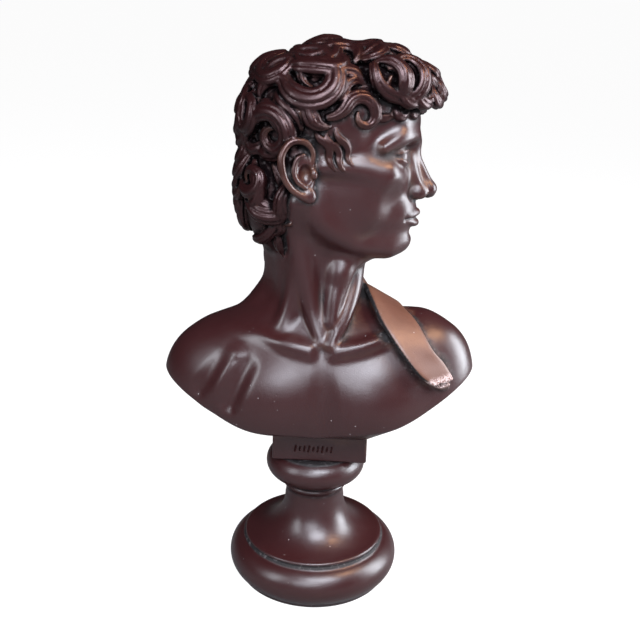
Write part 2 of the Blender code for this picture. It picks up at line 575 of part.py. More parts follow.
def painted(name, colour, metallic, roughness):
    material = bpy.data.materials.new(name)
    material.use_nodes = True
    surface = material.node_tree.nodes["Principled BSDF"]
    surface.inputs["Base Color"].default_value = (*colour, 1)
    surface.inputs["Metallic"].default_value = metallic
    surface.inputs["Roughness"].default_value = roughness
    return material


def main():
    for old in list(bpy.data.objects):
        bpy.data.objects.remove(old, do_unlink=True)
    head = head_pose()
    clay = Clay((-125, -75, 105), (125, 75, 392), SKIN_VOXEL)
    sculpt_torso(clay)
    strap = lay_strap()
    sculpt_skull(clay, head)
    sculpt_neck(clay, head)
    sculpt_hair(clay, head)
    sculpt_eyes(clay, head)
    sculpt_nose(clay, head)
    sculpt_mouth(clay, head)
    for side in (-1, 1):
        sculpt_ear(clay, head, side)
    bust = melted("bust", [clay.skin("bust")] + strap, MELT_VOXEL, BUST_TRIANGLES)
    unite(bust, name_tablet())
    socle = turn_socle()
    bronze = (0.055, 0.026, 0.020)
    bust.data.materials.append(painted("bust_patina", bronze, 0.3, 0.4))
    socle.data.materials.append(painted("socle_patina", bronze, 0.3, 0.4))
    group = bpy.data.collections.new("classical_bust")
    bpy.context.scene.collection.children.link(group)
    for piece in (bust, socle):
        bpy.context.scene.collection.objects.unlink(piece)
        group.objects.link(piece)


main()
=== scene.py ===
"""A classical bust on its turned socle.

The casting (head, neck, shoulders, strap and name tablet) is modelled in clay: a block of voxels
that holds a signed distance in millimetres, onto which ellipsoids, limbs and ribbons are melted
and from which others are carved. The socle is spun. +Z is up, the chest faces -Y and the
head is turned to its own left, along +X.
"""

import math

import bpy
import numpy as np
from mathutils import Matrix, Vector

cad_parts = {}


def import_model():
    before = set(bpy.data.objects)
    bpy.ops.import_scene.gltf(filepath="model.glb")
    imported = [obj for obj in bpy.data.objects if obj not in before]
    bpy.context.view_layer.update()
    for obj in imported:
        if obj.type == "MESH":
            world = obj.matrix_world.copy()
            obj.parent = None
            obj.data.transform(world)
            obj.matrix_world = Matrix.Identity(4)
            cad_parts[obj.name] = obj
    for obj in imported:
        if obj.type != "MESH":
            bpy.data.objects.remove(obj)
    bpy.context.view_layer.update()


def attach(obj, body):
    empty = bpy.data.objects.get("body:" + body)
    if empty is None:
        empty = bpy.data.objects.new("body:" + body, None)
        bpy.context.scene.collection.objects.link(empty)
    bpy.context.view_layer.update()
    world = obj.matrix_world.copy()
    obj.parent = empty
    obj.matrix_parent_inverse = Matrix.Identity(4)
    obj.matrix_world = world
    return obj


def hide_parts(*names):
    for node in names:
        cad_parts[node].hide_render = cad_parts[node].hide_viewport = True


MM = 0.001

# Driving sizes, in millimetres
HEAD = 127.0                # chin to crown of the skull
THIRD = HEAD / 3.5          # chin to nose, nose to brow, brow to hairline
EYE = HEAD * 2 / 3 / 5      # the head is five eyes wide
CHIN_HEIGHT = 246.0         # chin above the floor
HEAD_TILT = -5.0            # degrees, the crown away from the raised side
CHEST = (105.0, 49.0, 59.0)  # half the width and depth, and the rise, of its ellipsoid
SHOULDER_RISE = 9.0         # the left shoulder is carried higher
TABLET = (65.0, 48.0, 20.0)  # width, depth, height
TABLET_FOOT = 99.0
SEAT_SHIFT = 3.5            # the casting sits a little to its left on the socle
SOCLE_RADIUS = 61.0
GAP = 0.3                   # between the tablet and the socle's cap
EYEBALL = 7.3               # radius
EYEBALL_FRONT = 42.6        # the eyeball's centre, ahead of the head's axis
HAIR_SHELL = 90.0           # locks start from a ball this wide, and are dropped onto the scalp
STROKES, STROKE_STEP, STROKE_LEAN = 9, 3.1, 9  # the tablet's row: how many, how far apart, degrees
STROKE_HEIGHTS = (5.4, 3.8, 4.8)
VOXEL = 0.6
BUST_TRIANGLES = 194000     # after thinning
SPIN_STEPS = 144

# The finish, as scene-linear colours
CAST = (0.028, 0.0065, 0.0068)
RUBBED = (0.075, 0.03, 0.018)
# DEEP: the near black of the hollows, the cast's own dark toning and painted shade
DEEP = (0.003, 0.001, 0.0015)
STRAP_WAX = (0.12, 0.05, 0.03)
BARE_DARK, BARE_PALE = (0.16, 0.09, 0.08), (0.5, 0.4, 0.38)
DUST = (0.34, 0.3, 0.3)

# The studio, in metres, watts and degrees
FLOOR_WIDTH = 60
PALE, SKY_GLOW = 0.96, (0.025, 0.022, 0.025)
AIM = (0, 0, 0.22)
COOL, COOLER = (0.88, 0.93, 1), (0.86, 0.9, 1)
LAMPS = (("window", (0.2, -0.65, 0.9), 0.5, 0.4, 15, COOLER),
         ("front_window", (-0.05, -1.0, 0.62), 0.6, 0.35, 7, COOLER),
         ("left_window", (-0.6, -0.5, 0.5), 0.12, 0.5, 3.4, COOL),
         ("side_window", (0.95, 0.1, 0.4), 0.4, 0.8, 18, COOL),
         ("lamp", (0.5, -0.15, 0.85), 0.15, 0.15, 3.0, (1, 0.55, 0.3)))
CAMERA_ROUND, CAMERA_DOWN, CAMERA_ROLL = 2.3, 20.08, 1.73
CAMERA_PLACE = (0.0003, -0.6, 0.4137)  # before it goes round
CAMERA_LENS = 52.77                    # on a sensor 36 mm wide


class Clay:
    """A block of voxels holding a signed distance in millimetres, negative inside the figure."""

    FAR = 40.0

    def __init__(self, low, high, voxel):
        self.low = np.array(low, float)
        self.voxel = voxel
        counts = np.ceil((np.array(high, float) - self.low) / voxel - 1e-6).astype(int) + 1
        self.field = np.full(counts, self.FAR, np.float32)

    def window(self, low, high):
        """The voxels between two corners: their slices, and their coordinates as open grids."""
        count = np.array(self.field.shape)
        first = np.clip(np.floor((low - self.low) / self.voxel).astype(int), 0, count)
        last = np.clip(np.ceil((high - self.low) / self.voxel).astype(int) + 1, first, count)
        slices = tuple(slice(a, b) for a, b in zip(first, last))
        ticks = [self.low[k] + self.voxel * np.arange(first[k], last[k]) for k in range(3)]
        return slices, np.meshgrid(*(t.astype(np.float32) for t in ticks), indexing="ij", sparse=True)

    def merge(self, slices, distance, blend, carve):
        """Melts a shape onto the clay, or carves it away, with a fillet about blend wide."""
        if distance.size == 0:
            return
        old, new = self.field[slices], (distance if not carve else -distance)
        sign = -1.0 if carve else 1.0
        share = np.clip(0.5 + sign * 0.5 * (old - new) / blend, 0.0, 1.0)
        self.field[slices] = old + (new - old) * share - sign * blend * share * (1.0 - share)

    def blob(self, centre, radii, blend, pose=Matrix(), turn=(0, 0, 0), carve=False):
        """An ellipsoid: centre and radii in the pose's frame, turned by three angles in degrees."""
        place = pose @ Matrix.Translation(centre) @ turned(turn)
        axes = np.array(place.to_3x3(), float)
        middle = np.array(place.translation, float)
        radii = np.array(radii, float)
        reach = np.sqrt((axes * radii) ** 2 @ np.ones(3)) + blend + 8.0
        slices, grid = self.window(middle - reach, middle + reach)
        steps = [g - m for g, m in zip(grid, middle)]
        local = [sum(axes[j, k] * steps[j] for j in range(3)) for k in range(3)]
        near = np.sqrt(sum((local[k] / radii[k]) ** 2 for k in range(3)))
        slope = np.sqrt(sum((local[k] / radii[k] ** 2) ** 2 for k in range(3)))
        self.merge(slices, near * (near - 1.0) / np.maximum(slope, 1e-6), blend, carve)

    def limb(self, points, radii, blend, pose=Matrix(), carve=False, steps=6):
        """A round limb of changing radius along a smooth curve through the points."""
        line = through([pose @ Vector(p) for p in points], steps)
        size = through([(r, 0, 0) for r in radii], steps)[:, 0]
        reach = size.max() + blend + 6.0
        slices, grid = self.window(line.min(0) - reach, line.max(0) + reach)
        nearest = np.full([s.stop - s.start for s in slices], self.FAR, np.float32)
        for a, b, ra, rb in zip(line[:-1], line[1:], size[:-1], size[1:]):
            run = b - a
            from_a = [g - c for g, c in zip(grid, a)]
            along = np.clip(sum(f * r for f, r in zip(from_a, run)) / max(run @ run, 1e-9), 0.0, 1.0)
            away = np.sqrt(sum((f - r * along) ** 2 for f, r in zip(from_a, run)))
            np.minimum(nearest, away - (ra + (rb - ra) * along), out=nearest)
        self.merge(slices, nearest, blend, carve)

    def ribbon(self, line, ups, widths, heights, blend, strands=0, groove=0.0, power=2.0, sides=None):
        """A lock or a strap: oval sections swept along a line, grooved lengthwise into strands.
        A strap gives its sides, and its sections slant with them."""
        line, ups = np.array(line, float), np.array(ups, float)
        reach = max(np.max(widths), np.max(heights)) + blend + 2.0
        slices, grid = self.window(line.min(0) - reach, line.max(0) + reach)
        nearest = np.full([s.stop - s.start for s in slices], self.FAR, np.float32)
        if nearest.size == 0:
            return
        corner = np.array([s.start for s in slices])
        for i in range(len(line) - 1):
            a, run = line[i], line[i + 1] - line[i]
            ahead = run / np.linalg.norm(run)
            up = ups[i] + ups[i + 1]
            up = up - (up @ ahead) * ahead
            up = up / np.linalg.norm(up)
            across = np.cross(ahead, up)
            if sides is not None:
                slant = sides[i] + sides[i + 1]
                up = np.cross(slant, ahead)
                slant, up = slant / np.linalg.norm(slant), up / np.linalg.norm(up)
                axes = np.linalg.inv(np.stack([slant, run, up], 1))
            ends = line[i:i + 2]
            inner, small = self.window(ends.min(0) - reach, ends.max(0) + reach)
            inner = tuple(slice(s.start - c, s.stop - c) for s, c in zip(inner, corner))
            from_a = [g - c for g, c in zip(small, a)]
            share = np.clip(sum(f * r for f, r in zip(from_a, run)) / (run @ run), 0.0, 1.0)
            rest = [f - r * share for f, r in zip(from_a, run)]
            wide = widths[i] + (widths[i + 1] - widths[i]) * share
            high = heights[i] + (heights[i + 1] - heights[i]) * share
            if sides is None:
                u = sum(r * c for r, c in zip(rest, across)) / wide
                v = sum(r * c for r, c in zip(rest, up)) / high
                w = sum(r * c for r, c in zip(rest, ahead)) / np.minimum(wide, high)
            else:
                u, share, v = (sum(f * c for f, c in zip(from_a, axis)) for axis in axes)
                held = np.clip(share, 0, 1)
                w = (share - held) * np.linalg.norm(run) / high
                wide = widths[i] + (widths[i + 1] - widths[i]) * held
                u, v = u / wide, v / high
            if power > 2:
                near = ((abs(u) ** power + abs(v) ** power) ** (2 / power) + w * w) ** 0.5
            else:
                near = np.sqrt(u * u + v * v + w * w)
            slope = np.sqrt((u / wide) ** 2 + (v / high) ** 2 + (w / high) ** 2)
            distance = near * (near - 1.0) / np.maximum(slope, 1e-6)
            if power > 2:
                distance = (near - 1.0) * np.minimum(wide, high)
            if strands:
                furrow = (1.0 - abs(np.sin(np.arctan2(v, u) * strands))) ** 2
                distance = distance + groove * furrow * np.clip(near, 0, 1) * np.minimum(1, wide / 4)
            np.minimum(nearest[inner], distance, out=nearest[inner])
        self.merge(slices, nearest, blend, False)

    def cut(self, distance, blend=1.0):
        """Takes away everything where distance(x, y, z) is positive."""
        slices, grid = self.window(self.low, self.low + self.voxel * np.array(self.field.shape))
        self.merge(slices, -distance(*grid), blend, True)

    def hit(self, start, towards):
        """The first point of the skin on the way from start, and the skin's outward normal there."""
        start, way = Vector(start), (Vector(towards) - Vector(start))
        count = int(way.length / (self.voxel * 0.5))
        line = np.array([start + way * (i / count) for i in range(count + 1)])
        depth = self.sample(line)
        inside = np.flatnonzero(depth < 0)
        return self.settle(Vector(line[inside[0] if len(inside) else np.argmin(depth)]))

    def settle(self, point, tries=4):
        """Drops a point onto the skin, and gives the skin's outward normal there."""
        at = Vector(point)
        offsets = self.voxel * np.repeat(np.eye(3), 2, 0) * np.tile([[1], [-1]], (3, 1))
        for _ in range(tries):
            near = self.sample(np.vstack([[at], np.array(at) + offsets]))
            up = Vector(near[1::2] - near[2::2]).normalized()
            at = at - up * float(np.clip(near[0], -6, 6))
        return at, up

    def sample(self, points, field=None):
        """The distance at any points, between the voxels too, or another value kept on the voxels."""
        field = self.field if field is None else field
        place = (np.asarray(points, float) - self.low) / self.voxel
        place = np.clip(place, 0, np.array(self.field.shape) - 1.001)
        base = place.astype(int)
        part = place - base
        total = np.zeros(len(base))
        for corner in np.ndindex(2, 2, 2):
            share = np.prod(np.where(corner, part, 1 - part), axis=1)
            total += share * field[tuple((base + corner).T)]
        return total

    def skin(self, name):
        """The clay's surface as a mesh object: one point in each cell it crosses, joined in quads."""
        inside = self.field < 0
        cells = np.zeros(np.array(inside.shape) - 1, np.uint8)
        corners = list(np.ndindex(2, 2, 2))
        for i, j, k in corners:
            nx, ny, nz = cells.shape
            cells += inside[i:i + nx, j:j + ny, k:k + nz]
        crossed = np.argwhere((cells > 0) & (cells < 8))
        value = {c: self.field[tuple((crossed + c).T)] for c in corners}
        total, hits = np.zeros((len(crossed), 3)), np.zeros(len(crossed))
        for a in corners:
            for axis in range(3):
                if a[axis]:
                    continue
                b = tuple(1 if k == axis else a[k] for k in range(3))
                change = (value[a] < 0) != (value[b] < 0)
                share = np.where(change, value[a] / np.where(change, value[a] - value[b], 1), 0)
                point = np.array(a, float) + share[:, None] * np.eye(3)[axis]
                total += point * change[:, None]
                hits += change
        points = self.low + self.voxel * (crossed + total / hits[:, None])
        number = np.full(cells.shape, -1)
        number[tuple(crossed.T)] = np.arange(len(crossed))
        quads = []
        for axis in range(3):
            u, v = (axis + 1) % 3, (axis + 2) % 3
            here = np.argwhere(np.diff(inside.astype(np.int8), axis=axis) != 0)
            here = here[(here[:, u] > 0) & (here[:, v] > 0)]
            here = here[(here[:, u] < cells.shape[u]) & (here[:, v] < cells.shape[v])]
            side_u, side_v = np.eye(3, dtype=int)[u], np.eye(3, dtype=int)[v]
            ring = [here - side_u - side_v, here - side_v, here, here - side_u]
            quad = np.stack([number[tuple(r.T)] for r in ring], 1)
            outward = inside[tuple(here.T)]
            quads.append(np.where(outward[:, None], quad, quad[:, ::-1]))
        mesh = bpy.data.meshes.new(name)
        mesh.from_pydata(points * MM, [], np.concatenate(quads))
        made = bpy.data.objects.new(name, mesh)
        bpy.context.scene.collection.objects.link(made)
        return made


def turned(degrees):
    """A turn about x, then y, then z."""
    x, y, z = (math.radians(d) for d in degrees)
    return Matrix.Rotation(z, 4, "Z") @ Matrix.Rotation(y, 4, "Y") @ Matrix.Rotation(x, 4, "X")


def through(points, steps):
    """A smooth curve through the points, with so many steps from each to the next."""
    p = np.array([tuple(q) for q in points], float)
    p = np.concatenate([[2 * p[0] - p[1]], p, [2 * p[-1] - p[-2]]])
    made = []
    for i in range(1, len(p) - 2):
        for s in range(steps):
            t = s / steps
            a, b, c, d = p[i - 1], p[i], p[i + 1], p[i + 2]
            made.append(0.5 * (2 * b + (c - a) * t + (2 * a - 5 * b + 4 * c - d) * t ** 2
                               + (3 * b - a - 3 * c + d) * t ** 3))
    return np.array(made + [p[-2]])


def head_pose():
    """The head's own frame: x to the front of the face, y to its left ear, z up, 0 under the chin."""
    return Matrix.Translation((3, -7, CHIN_HEIGHT)) @ turned((HEAD_TILT, 0, 0))


# The torso and neck

def sculpt_torso(clay):
    """Chest, back, shoulders and collarbones, cut to a shallow bowl above the tablet."""
    reach, deep, rise = CHEST
    clay.blob((0, 0, 150), (reach, deep, rise), 4)
    for side, lift in ((-1, -3), (1, SHOULDER_RISE)):
        clay.blob((side * 70 + 1, 1, 157 + lift), (34, 26, 35), 10)
        clay.blob((side * 35 + 3, -27, 146), (33, 23, 32), 10, turn=(0, 0, side * 12))
        clay.limb([(side * 16, 14, 212), (side * 40, 12, 189), (side * 66, 8, 178 + lift)], [15, 13, 14], 12)
        clay.blob((side * 44, 34, 160), (34, 16, 30), 12, turn=(0, 0, side * -10))
        clay.limb([(4 + side * 8, -38, 187), (4 + side * 24, -35.8, 190), (5 + side * 42, -26, 193.5),
                   (5 + side * 62, -12, 189)], [3.2, 3.4, 3.2, 3], 8)
    clay.limb([(-58, -22, 206), (-40, -30, 204), (-27, -34, 201)], [6, 6, 4], 8, carve=True)
    clay.limb([(26, -36, 201), (42, -28, 206)], [4, 5], 6, carve=True)
    clay.blob((4, -46, 190), (6, 5, 6), 6, carve=True)
    clay.limb([(-70, -31, 182), (-63, -35, 180.5), (-54, -37, 178)], [1.4, 2.4, 1.6], 4, carve=True)
    clay.limb([(-52, -31, 177), (-61, -33, 163), (-68, -30, 149), (-73, -25, 140)], [3.4, 4, 3.8, 3], 9)
    clay.limb([(-46, -43, 176), (-52, -44.5, 162), (-57, -44.5, 148)], [3, 3.6, 3], 9, carve=True)
    clay.limb([(-66, -38, 177), (-73, -38, 164), (-79, -36, 154)], [2.2, 2.6, 2.2], 9, carve=True)
    clay.limb([(5, -50, 180), (6, -54, 158), (7, -54, 138), (7, -52, 124)], [3, 4.4, 4.4, 4], 9, carve=True)
    clay.limb([(0, 52, 190), (0, 57, 160), (0, 57, 125)], [4, 5, 5], 12, carve=True)
    for side in (-1, 1):
        clay.limb([(side * 52, 34, 186), (side * 40, 44, 168), (side * 30, 46, 150)], [3, 4, 3], 10,
                  carve=True)
    clay.cut(underside, 1.2)


def underside(x, y, z):
    """Positive under the shallow bowl that ends the bust, which rises outwards from the tablet."""
    width, depth, height = TABLET
    out = np.hypot(np.maximum(abs(x - 1) - width / 2, 0), np.maximum(abs(y) - depth / 2, 0))
    slope = 0.49 + 0.18 * np.clip(x / 40, 0, 1) + 0.05 * np.clip(-x / 40, 0, 1)
    return (TABLET_FOOT + height - 2 + slope * out - z) / math.hypot(1, 0.49)


def sculpt_neck(clay, head):
    """The neck, twisted with the head: throat, windpipe, the long neck muscles and the nape."""
    clay.limb([(-6, 8, 165), (-5, 5, 205), (-5, 2, 240), (-7, 0, 285)], [38, 29, 28, 32], 14)
    clay.blob((20, -2, 251), (22, 20, 10), 8)
    clay.limb([(24, -4, 250), (16, -18, 240), (11, -24, 224), (8, -31, 205)], [9, 8, 7, 5], 8)
    near_ear = head @ Vector((-16, -33, 36))
    far_ear = head @ Vector((-16, 33, 36))
    clay.limb([near_ear, (-14, -25, 262), (-9, -24, 236), (-4, -26, 212), (3, -35, 193)],
              [8, 8, 7, 6, 3.5], 4)
    clay.limb([(-13, -21, 240), (-17, -21, 218), (-22, -23, 200), (-27, -24, 188)], [6, 5.5, 4.5, 3.5], 7)
    clay.limb([far_ear, (18, 14, 256), (22, -6, 230), (17, -26, 207), (9, -37, 192)], [8, 7, 6.5, 5, 3.5], 4)
    clay.limb([(-34, 2, 290), (-29, 6, 250), (-27, 12, 220), (-36, 16, 196)], [12, 11, 13, 16], 8)
    clay.limb([(3, -45, 232), (3, -41, 212), (4, -44, 198)], [7, 6, 4.5], 7, carve=True)
    clay.blob((13, -13, 250), (10, 11, 7), 6)
    clay.blob((13, -22, 236), (7, 7, 8), 5)


def strap_rails():
    """The strap's inner and outer edge, from its broken front end over the shoulder to the back."""
    inner = [(74, -39, 167), (64, -41, 176), (52, -36, 190), (41, -26, 203), (33, -10, 214),
             (28, 8, 217), (23, 28, 205), (13, 41, 186), (0, 47, 162), (-10, 46, 140)]
    outer = [(88.5, -29.5, 168.5), (82, -28, 178), (74, -28, 187), (65, -18, 199), (57, -5, 203),
             (51, 12, 203), (46, 30, 192), (35, 42, 176), (22, 47, 156), (12, 47, 136)]
    return through(inner, 8), through(outer, 8)


def lay_strap(clay):
    """The strap: a flat band with square edges, standing off the chest on a narrower web, its front
    end broken away."""
    a, b = strap_rails()
    ahead = np.gradient(a + b, axis=0)
    up = np.cross(b - a, ahead)
    up = up / np.linalg.norm(up, axis=1)[:, None]
    half = np.linalg.norm(b - a, axis=1) / 2
    middle = (a + b) / 2
    clay.ribbon(middle + (b - a) * 0.06 - up * 8, up, half * 0.66, np.full(len(a), 9.0), 1.5, power=6,
                sides=b - a)
    clay.ribbon(middle + up * 1.5, up, half, np.full(len(a), 2.2), 0.6, power=8, sides=b - a)
    chance = np.random.default_rng(3)
    for _ in range(46):
        at = a[0] + (b[0] - a[0]) * chance.uniform(0, 1) - ahead[0] * 0.12 + chance.normal(0, 1.0, 3)
        clay.blob(at, chance.uniform(0.8, 1.7, 3), 0.4, carve=True)


# The head

def sculpt_skull(clay, head):
    """The cranium, the planes of the face, the jaw and the cheekbones."""
    clay.blob((-6, 0, 84), (45, 42.5, 43), 4, head)
    clay.blob((21, 0, 84), (36, 34, 31), 10, head)
    clay.blob((20, 0, 52), (33, 30, 40), 12, head)
    clay.blob((27, 0, 25), (26, 21, 23), 10, head)
    clay.blob((46, 0, 9.5), (9, 10, 9), 8, head)
    clay.blob((38, 0, 29), (19, 17, 14), 8, head)
    for side in (-1, 1):
        clay.limb([(-6, side * 28, 42), (-3, side * 28, 26), (16, side * 20, 10), (38, side * 9, 5)],
                  [8, 7.5, 6.5, 6], 12, head)
        clay.blob((15, side * 23, 42), (22, 10, 25), 10, head)
        clay.blob((36, side * 21, 50), (11, 9, 9), 10, head)
        clay.limb([(36, side * 27, 54), (18, side * 33, 57), (-2, side * 37, 58)], [4, 3.6, 4], 9, head)
        clay.blob((40, side * 37, 80), (15, 7, 13), 10, head, carve=True)
        clay.blob((50, side * 30, 34), (10, 6, 12), 10, head, carve=True)


def sculpt_eyes(clay, head):
    """Sockets, brows, eyeballs, and lids that part in an almond, one eye's width apart."""
    line = HEAD / 2
    for side in (-1, 1):
        clay.limb([(53, side * 4, 72), (52, side * 13, 75.5), (45, side * 24, 75.5), (35, side * 31, 70)],
                  [3.2, 3.4, 3.2, 2], 8, head)
        clay.blob((58, side * 15.5, line + 1), (14, 11, 7.5), 6, head, carve=True, turn=(0, 0, side * 16))
        clay.blob((58, side * 9, line - 2), (8, 4, 7), 5, head, carve=True)
        middle = Vector((EYEBALL_FRONT, side * EYE, line))
        ball = head @ middle
        clay.blob(ball, (EYEBALL,) * 3, 0.6)
        part_lids(clay, head, ball, side)
        pupil = middle + Vector((7.6, side * 0.4, 0.2))
        clay.blob(pupil, (0.9, 1.5, 1.6), 0.5, head, carve=True)
        fold = []
        for t in np.linspace(-0.85, 0.95, 9):
            lift = 6.4 * math.sqrt(1 - t * t) + 0.8 * t
            out = math.sqrt(max(9.0 ** 2 - (t * 7.6) ** 2 - lift ** 2, 3))
            fold.append((EYEBALL_FRONT + out, side * (EYE + t * 8.6), line + lift))
        clay.limb(fold, [0.4, 0.8, 1.0, 1.0, 1.0, 1.0, 1.0, 0.8, 0.4], 1.2, head, carve=True)


def part_lids(clay, head, ball, side):
    """A shell over the eyeball, open along an almond as wide as the eye."""
    slices, grid = clay.window(np.array(ball) - 14, np.array(ball) + 14)
    axes = np.array(head.to_3x3(), float)
    steps = [g - c for g, c in zip(grid, ball)]
    front, left, up = (sum(axes[j, k] * steps[j] for j in range(3)) for k in range(3))
    across = side * left / (EYE * 0.52)
    arch = np.maximum(1 - across ** 2, 0)
    above = up - (3.3 * arch ** 0.8 + 0.7 * across)
    below = (-2.7 * arch ** 0.9 + 0.7 * across) - up
    closed = np.maximum(above, below)
    shell = np.sqrt(front ** 2 + left ** 2 + up ** 2) - 8.5
    rim = np.maximum(shell, 0.3 - closed) + 0.6 * np.clip(1 - abs(shell) - abs(closed - 0.3), 0, 1)
    clay.merge(slices, rim.astype(np.float32), 1.4, False)


def sculpt_nose(clay, head):
    """The bridge, the ball, the wings and the nostrils."""
    clay.limb([(52, 0, 71), (56.2, 0, 61), (61.5, 0, 50), (64.5, 0, 43.5)], [3.6, 2.9, 3.3, 4.2], 5, head)
    clay.blob((63.8, 0, 42.2), (5.6, 5.2, 4.6), 3, head)
    clay.limb([(66, 0, 39.4), (60, 0, 36.8), (56, 0, 35.4)], [1.9, 1.7, 1.6], 2, head)
    clay.limb([(56, 0, 34), (57.4, 0, 29.5)], [1, 1], 2, head, carve=True)
    for side in (-1, 1):
        clay.limb([(50, side * 4.5, 62), (54, side * 5.5, 52), (57, side * 6, 45)], [3, 3.2, 3], 6, head)
        clay.blob((57.8, side * 6.6, 40.6), (5.8, 3.4, 4.4), 2, head, turn=(0, 0, side * -8))
        clay.limb([(58.5, side * 9.8, 45.8), (54.2, side * 11, 44.6), (51.6, side * 11, 40.5),
                   (52.8, side * 9.4, 36.2)], [0.4, 0.8, 1.0, 0.6], 1.6, head, carve=True)
        clay.limb([(62.4, side * 3.3, 37.6), (59.6, side * 4.5, 37), (56.6, side * 5, 37.2)],
                  [1.1, 1.6, 1.1], 0.8, head, carve=True)


def sculpt_mouth(clay, head):
    """Closed lips, 1.5 eyes wide, with the groove above and the hollow below."""
    half = EYE * 0.75
    line = THIRD * 2 / 3
    upper = [(49.5, -half, line + 0.2), (54.6, -half * 0.55, line + 2.2), (57.6, -2.2, line + 3.4),
             (57.2, 0, line + 2.7), (57.6, 2.2, line + 3.4), (54.6, half * 0.55, line + 2.2),
             (49.5, half, line + 0.2)]
    lower = [(49.6, -half * 0.86, line - 1), (54.6, -half * 0.45, line - 2.8), (56.6, 0, line - 3.6),
             (54.6, half * 0.45, line - 2.8), (49.6, half * 0.86, line - 1)]
    clay.limb(upper, [0.8, 2.0, 2.2, 2.0, 2.2, 2.0, 0.8], 1.4, head)
    clay.limb(lower, [1.0, 2.4, 2.9, 2.4, 1.0], 1.6, head)
    parting = [(50, -half - 0.8, line - 0.4), (54.5, -half * 0.72, line + 0.1),
               (58.6, -half * 0.3, line + 0.3), (60.2, 0, line - 0.4), (58.6, half * 0.3, line + 0.3),
               (54.5, half * 0.72, line + 0.1), (50, half + 0.8, line - 0.4)]
    clay.limb(parting, [0.9, 0.7, 0.6, 0.6, 0.6, 0.7, 0.9], 0.7, head, carve=True)
    clay.blob((61, 0, THIRD - 3), (3, 1.7, 4), 2, head, carve=True)
    clay.blob((60.5, 0, line - 9.6), (6.5, 9, 2.6), 3.5, head, carve=True)
    for side in (-1, 1):
        clay.blob((53, side * (half + 1.6), line - 0.6), (2.6, 1.4, 2.4), 2.5, head, carve=True)


def sculpt_ear(clay, head, side):
    """The rim, the inner folds, the bowl and the lobe of one ear."""
    root = (head @ Matrix.Translation((-15, side * 41.0, THIRD * 1.5 + 1))
            @ turned((0, 0, side * -20)) @ turned((0, -12, 0)))

    def p(x, z, y):
        return (x, side * y, z)

    clay.blob(p(-1, 0, 0.5), (9.5, 4.5, 16), 3, root)
    clay.limb([p(6, 1, 2), p(8, 9.5, 3.5), p(4, 16.5, 4.8), p(-5, 18, 5.2), p(-12, 11, 5.8), p(-12.5, 0, 5.8),
               p(-9, -9, 4.8), p(-3, -15, 3.6)], [1.5, 1.9, 2.1, 2.2, 2.3, 2.2, 2.0, 2.4], 1.2, root)
    clay.blob(p(1.5, -15.8, 2.8), (4.4, 2.8, 4.8), 2.5, root)
    clay.blob(p(1.5, -2.5, 6.5), (5.0, 6.5, 6.6), 1.2, root, carve=True)
    clay.limb([p(3, 12, 6.2), p(-5, 13, 6.4), p(-8.8, 6, 6.6), p(-8.8, -2, 6.4), p(-5, -8, 5.6)],
              [1.3, 1.4, 1.4, 1.4, 1.2], 0.9, root, carve=True)
    clay.limb([p(2, 9, 4), p(-3, 7.5, 4.8), p(-6, 1, 5), p(-5, -5, 4.8), p(-1, -9.5, 4.4)],
              [1.4, 1.6, 1.6, 1.6, 1.6], 1.0, root)
    clay.blob(p(6.5, -3.5, 3.8), (2.0, 2.2, 3.4), 1.2, root)


# The hair

def cover_scalp(clay, head):
    """The hair's mass, under the locks."""
    clay.blob((-8, 0, 87), (46, 44.5, 41), 4, head)
    clay.blob((-35, 0, 42), (19, 30, 42), 8, head)
    clay.blob((33, 0, 111), (27, 34, 13), 6, head, turn=(0, 12, 0))


def filler_plan():
    """Short flat waves that cover the scalp between the larger locks."""
    chance = np.random.default_rng(11)
    rings = ((8, 5), (30, 12), (52, 16), (74, 17), (96, 16), (118, 12), (140, 8))
    for ring, (drop, count) in enumerate(rings):
        for k in range(count):
            around = 2 * math.pi * (k + 0.5 * (ring % 2)) / count
            fall = math.radians(drop)
            x = -12 + HAIR_SHELL * math.sin(fall) * math.cos(around)
            y = HAIR_SHELL * math.sin(fall) * math.sin(around)
            z = 80 + HAIR_SHELL * math.cos(fall)
            front = math.cos(around)
            on_face = drop > 45 and front > 0.35
            on_ear = drop > 80 and front > -0.35
            on_neck = drop > 130 and front > -0.8
            if on_face or on_ear or on_neck:
                continue
            bend = chance.choice([-1, 1]) * chance.uniform(90, 240)
            yield (x, y, z), chance.uniform(-50, 50), ((9, bend * 0.2), (18, bend)), 4.6, (-1.5, 0.5, -1)


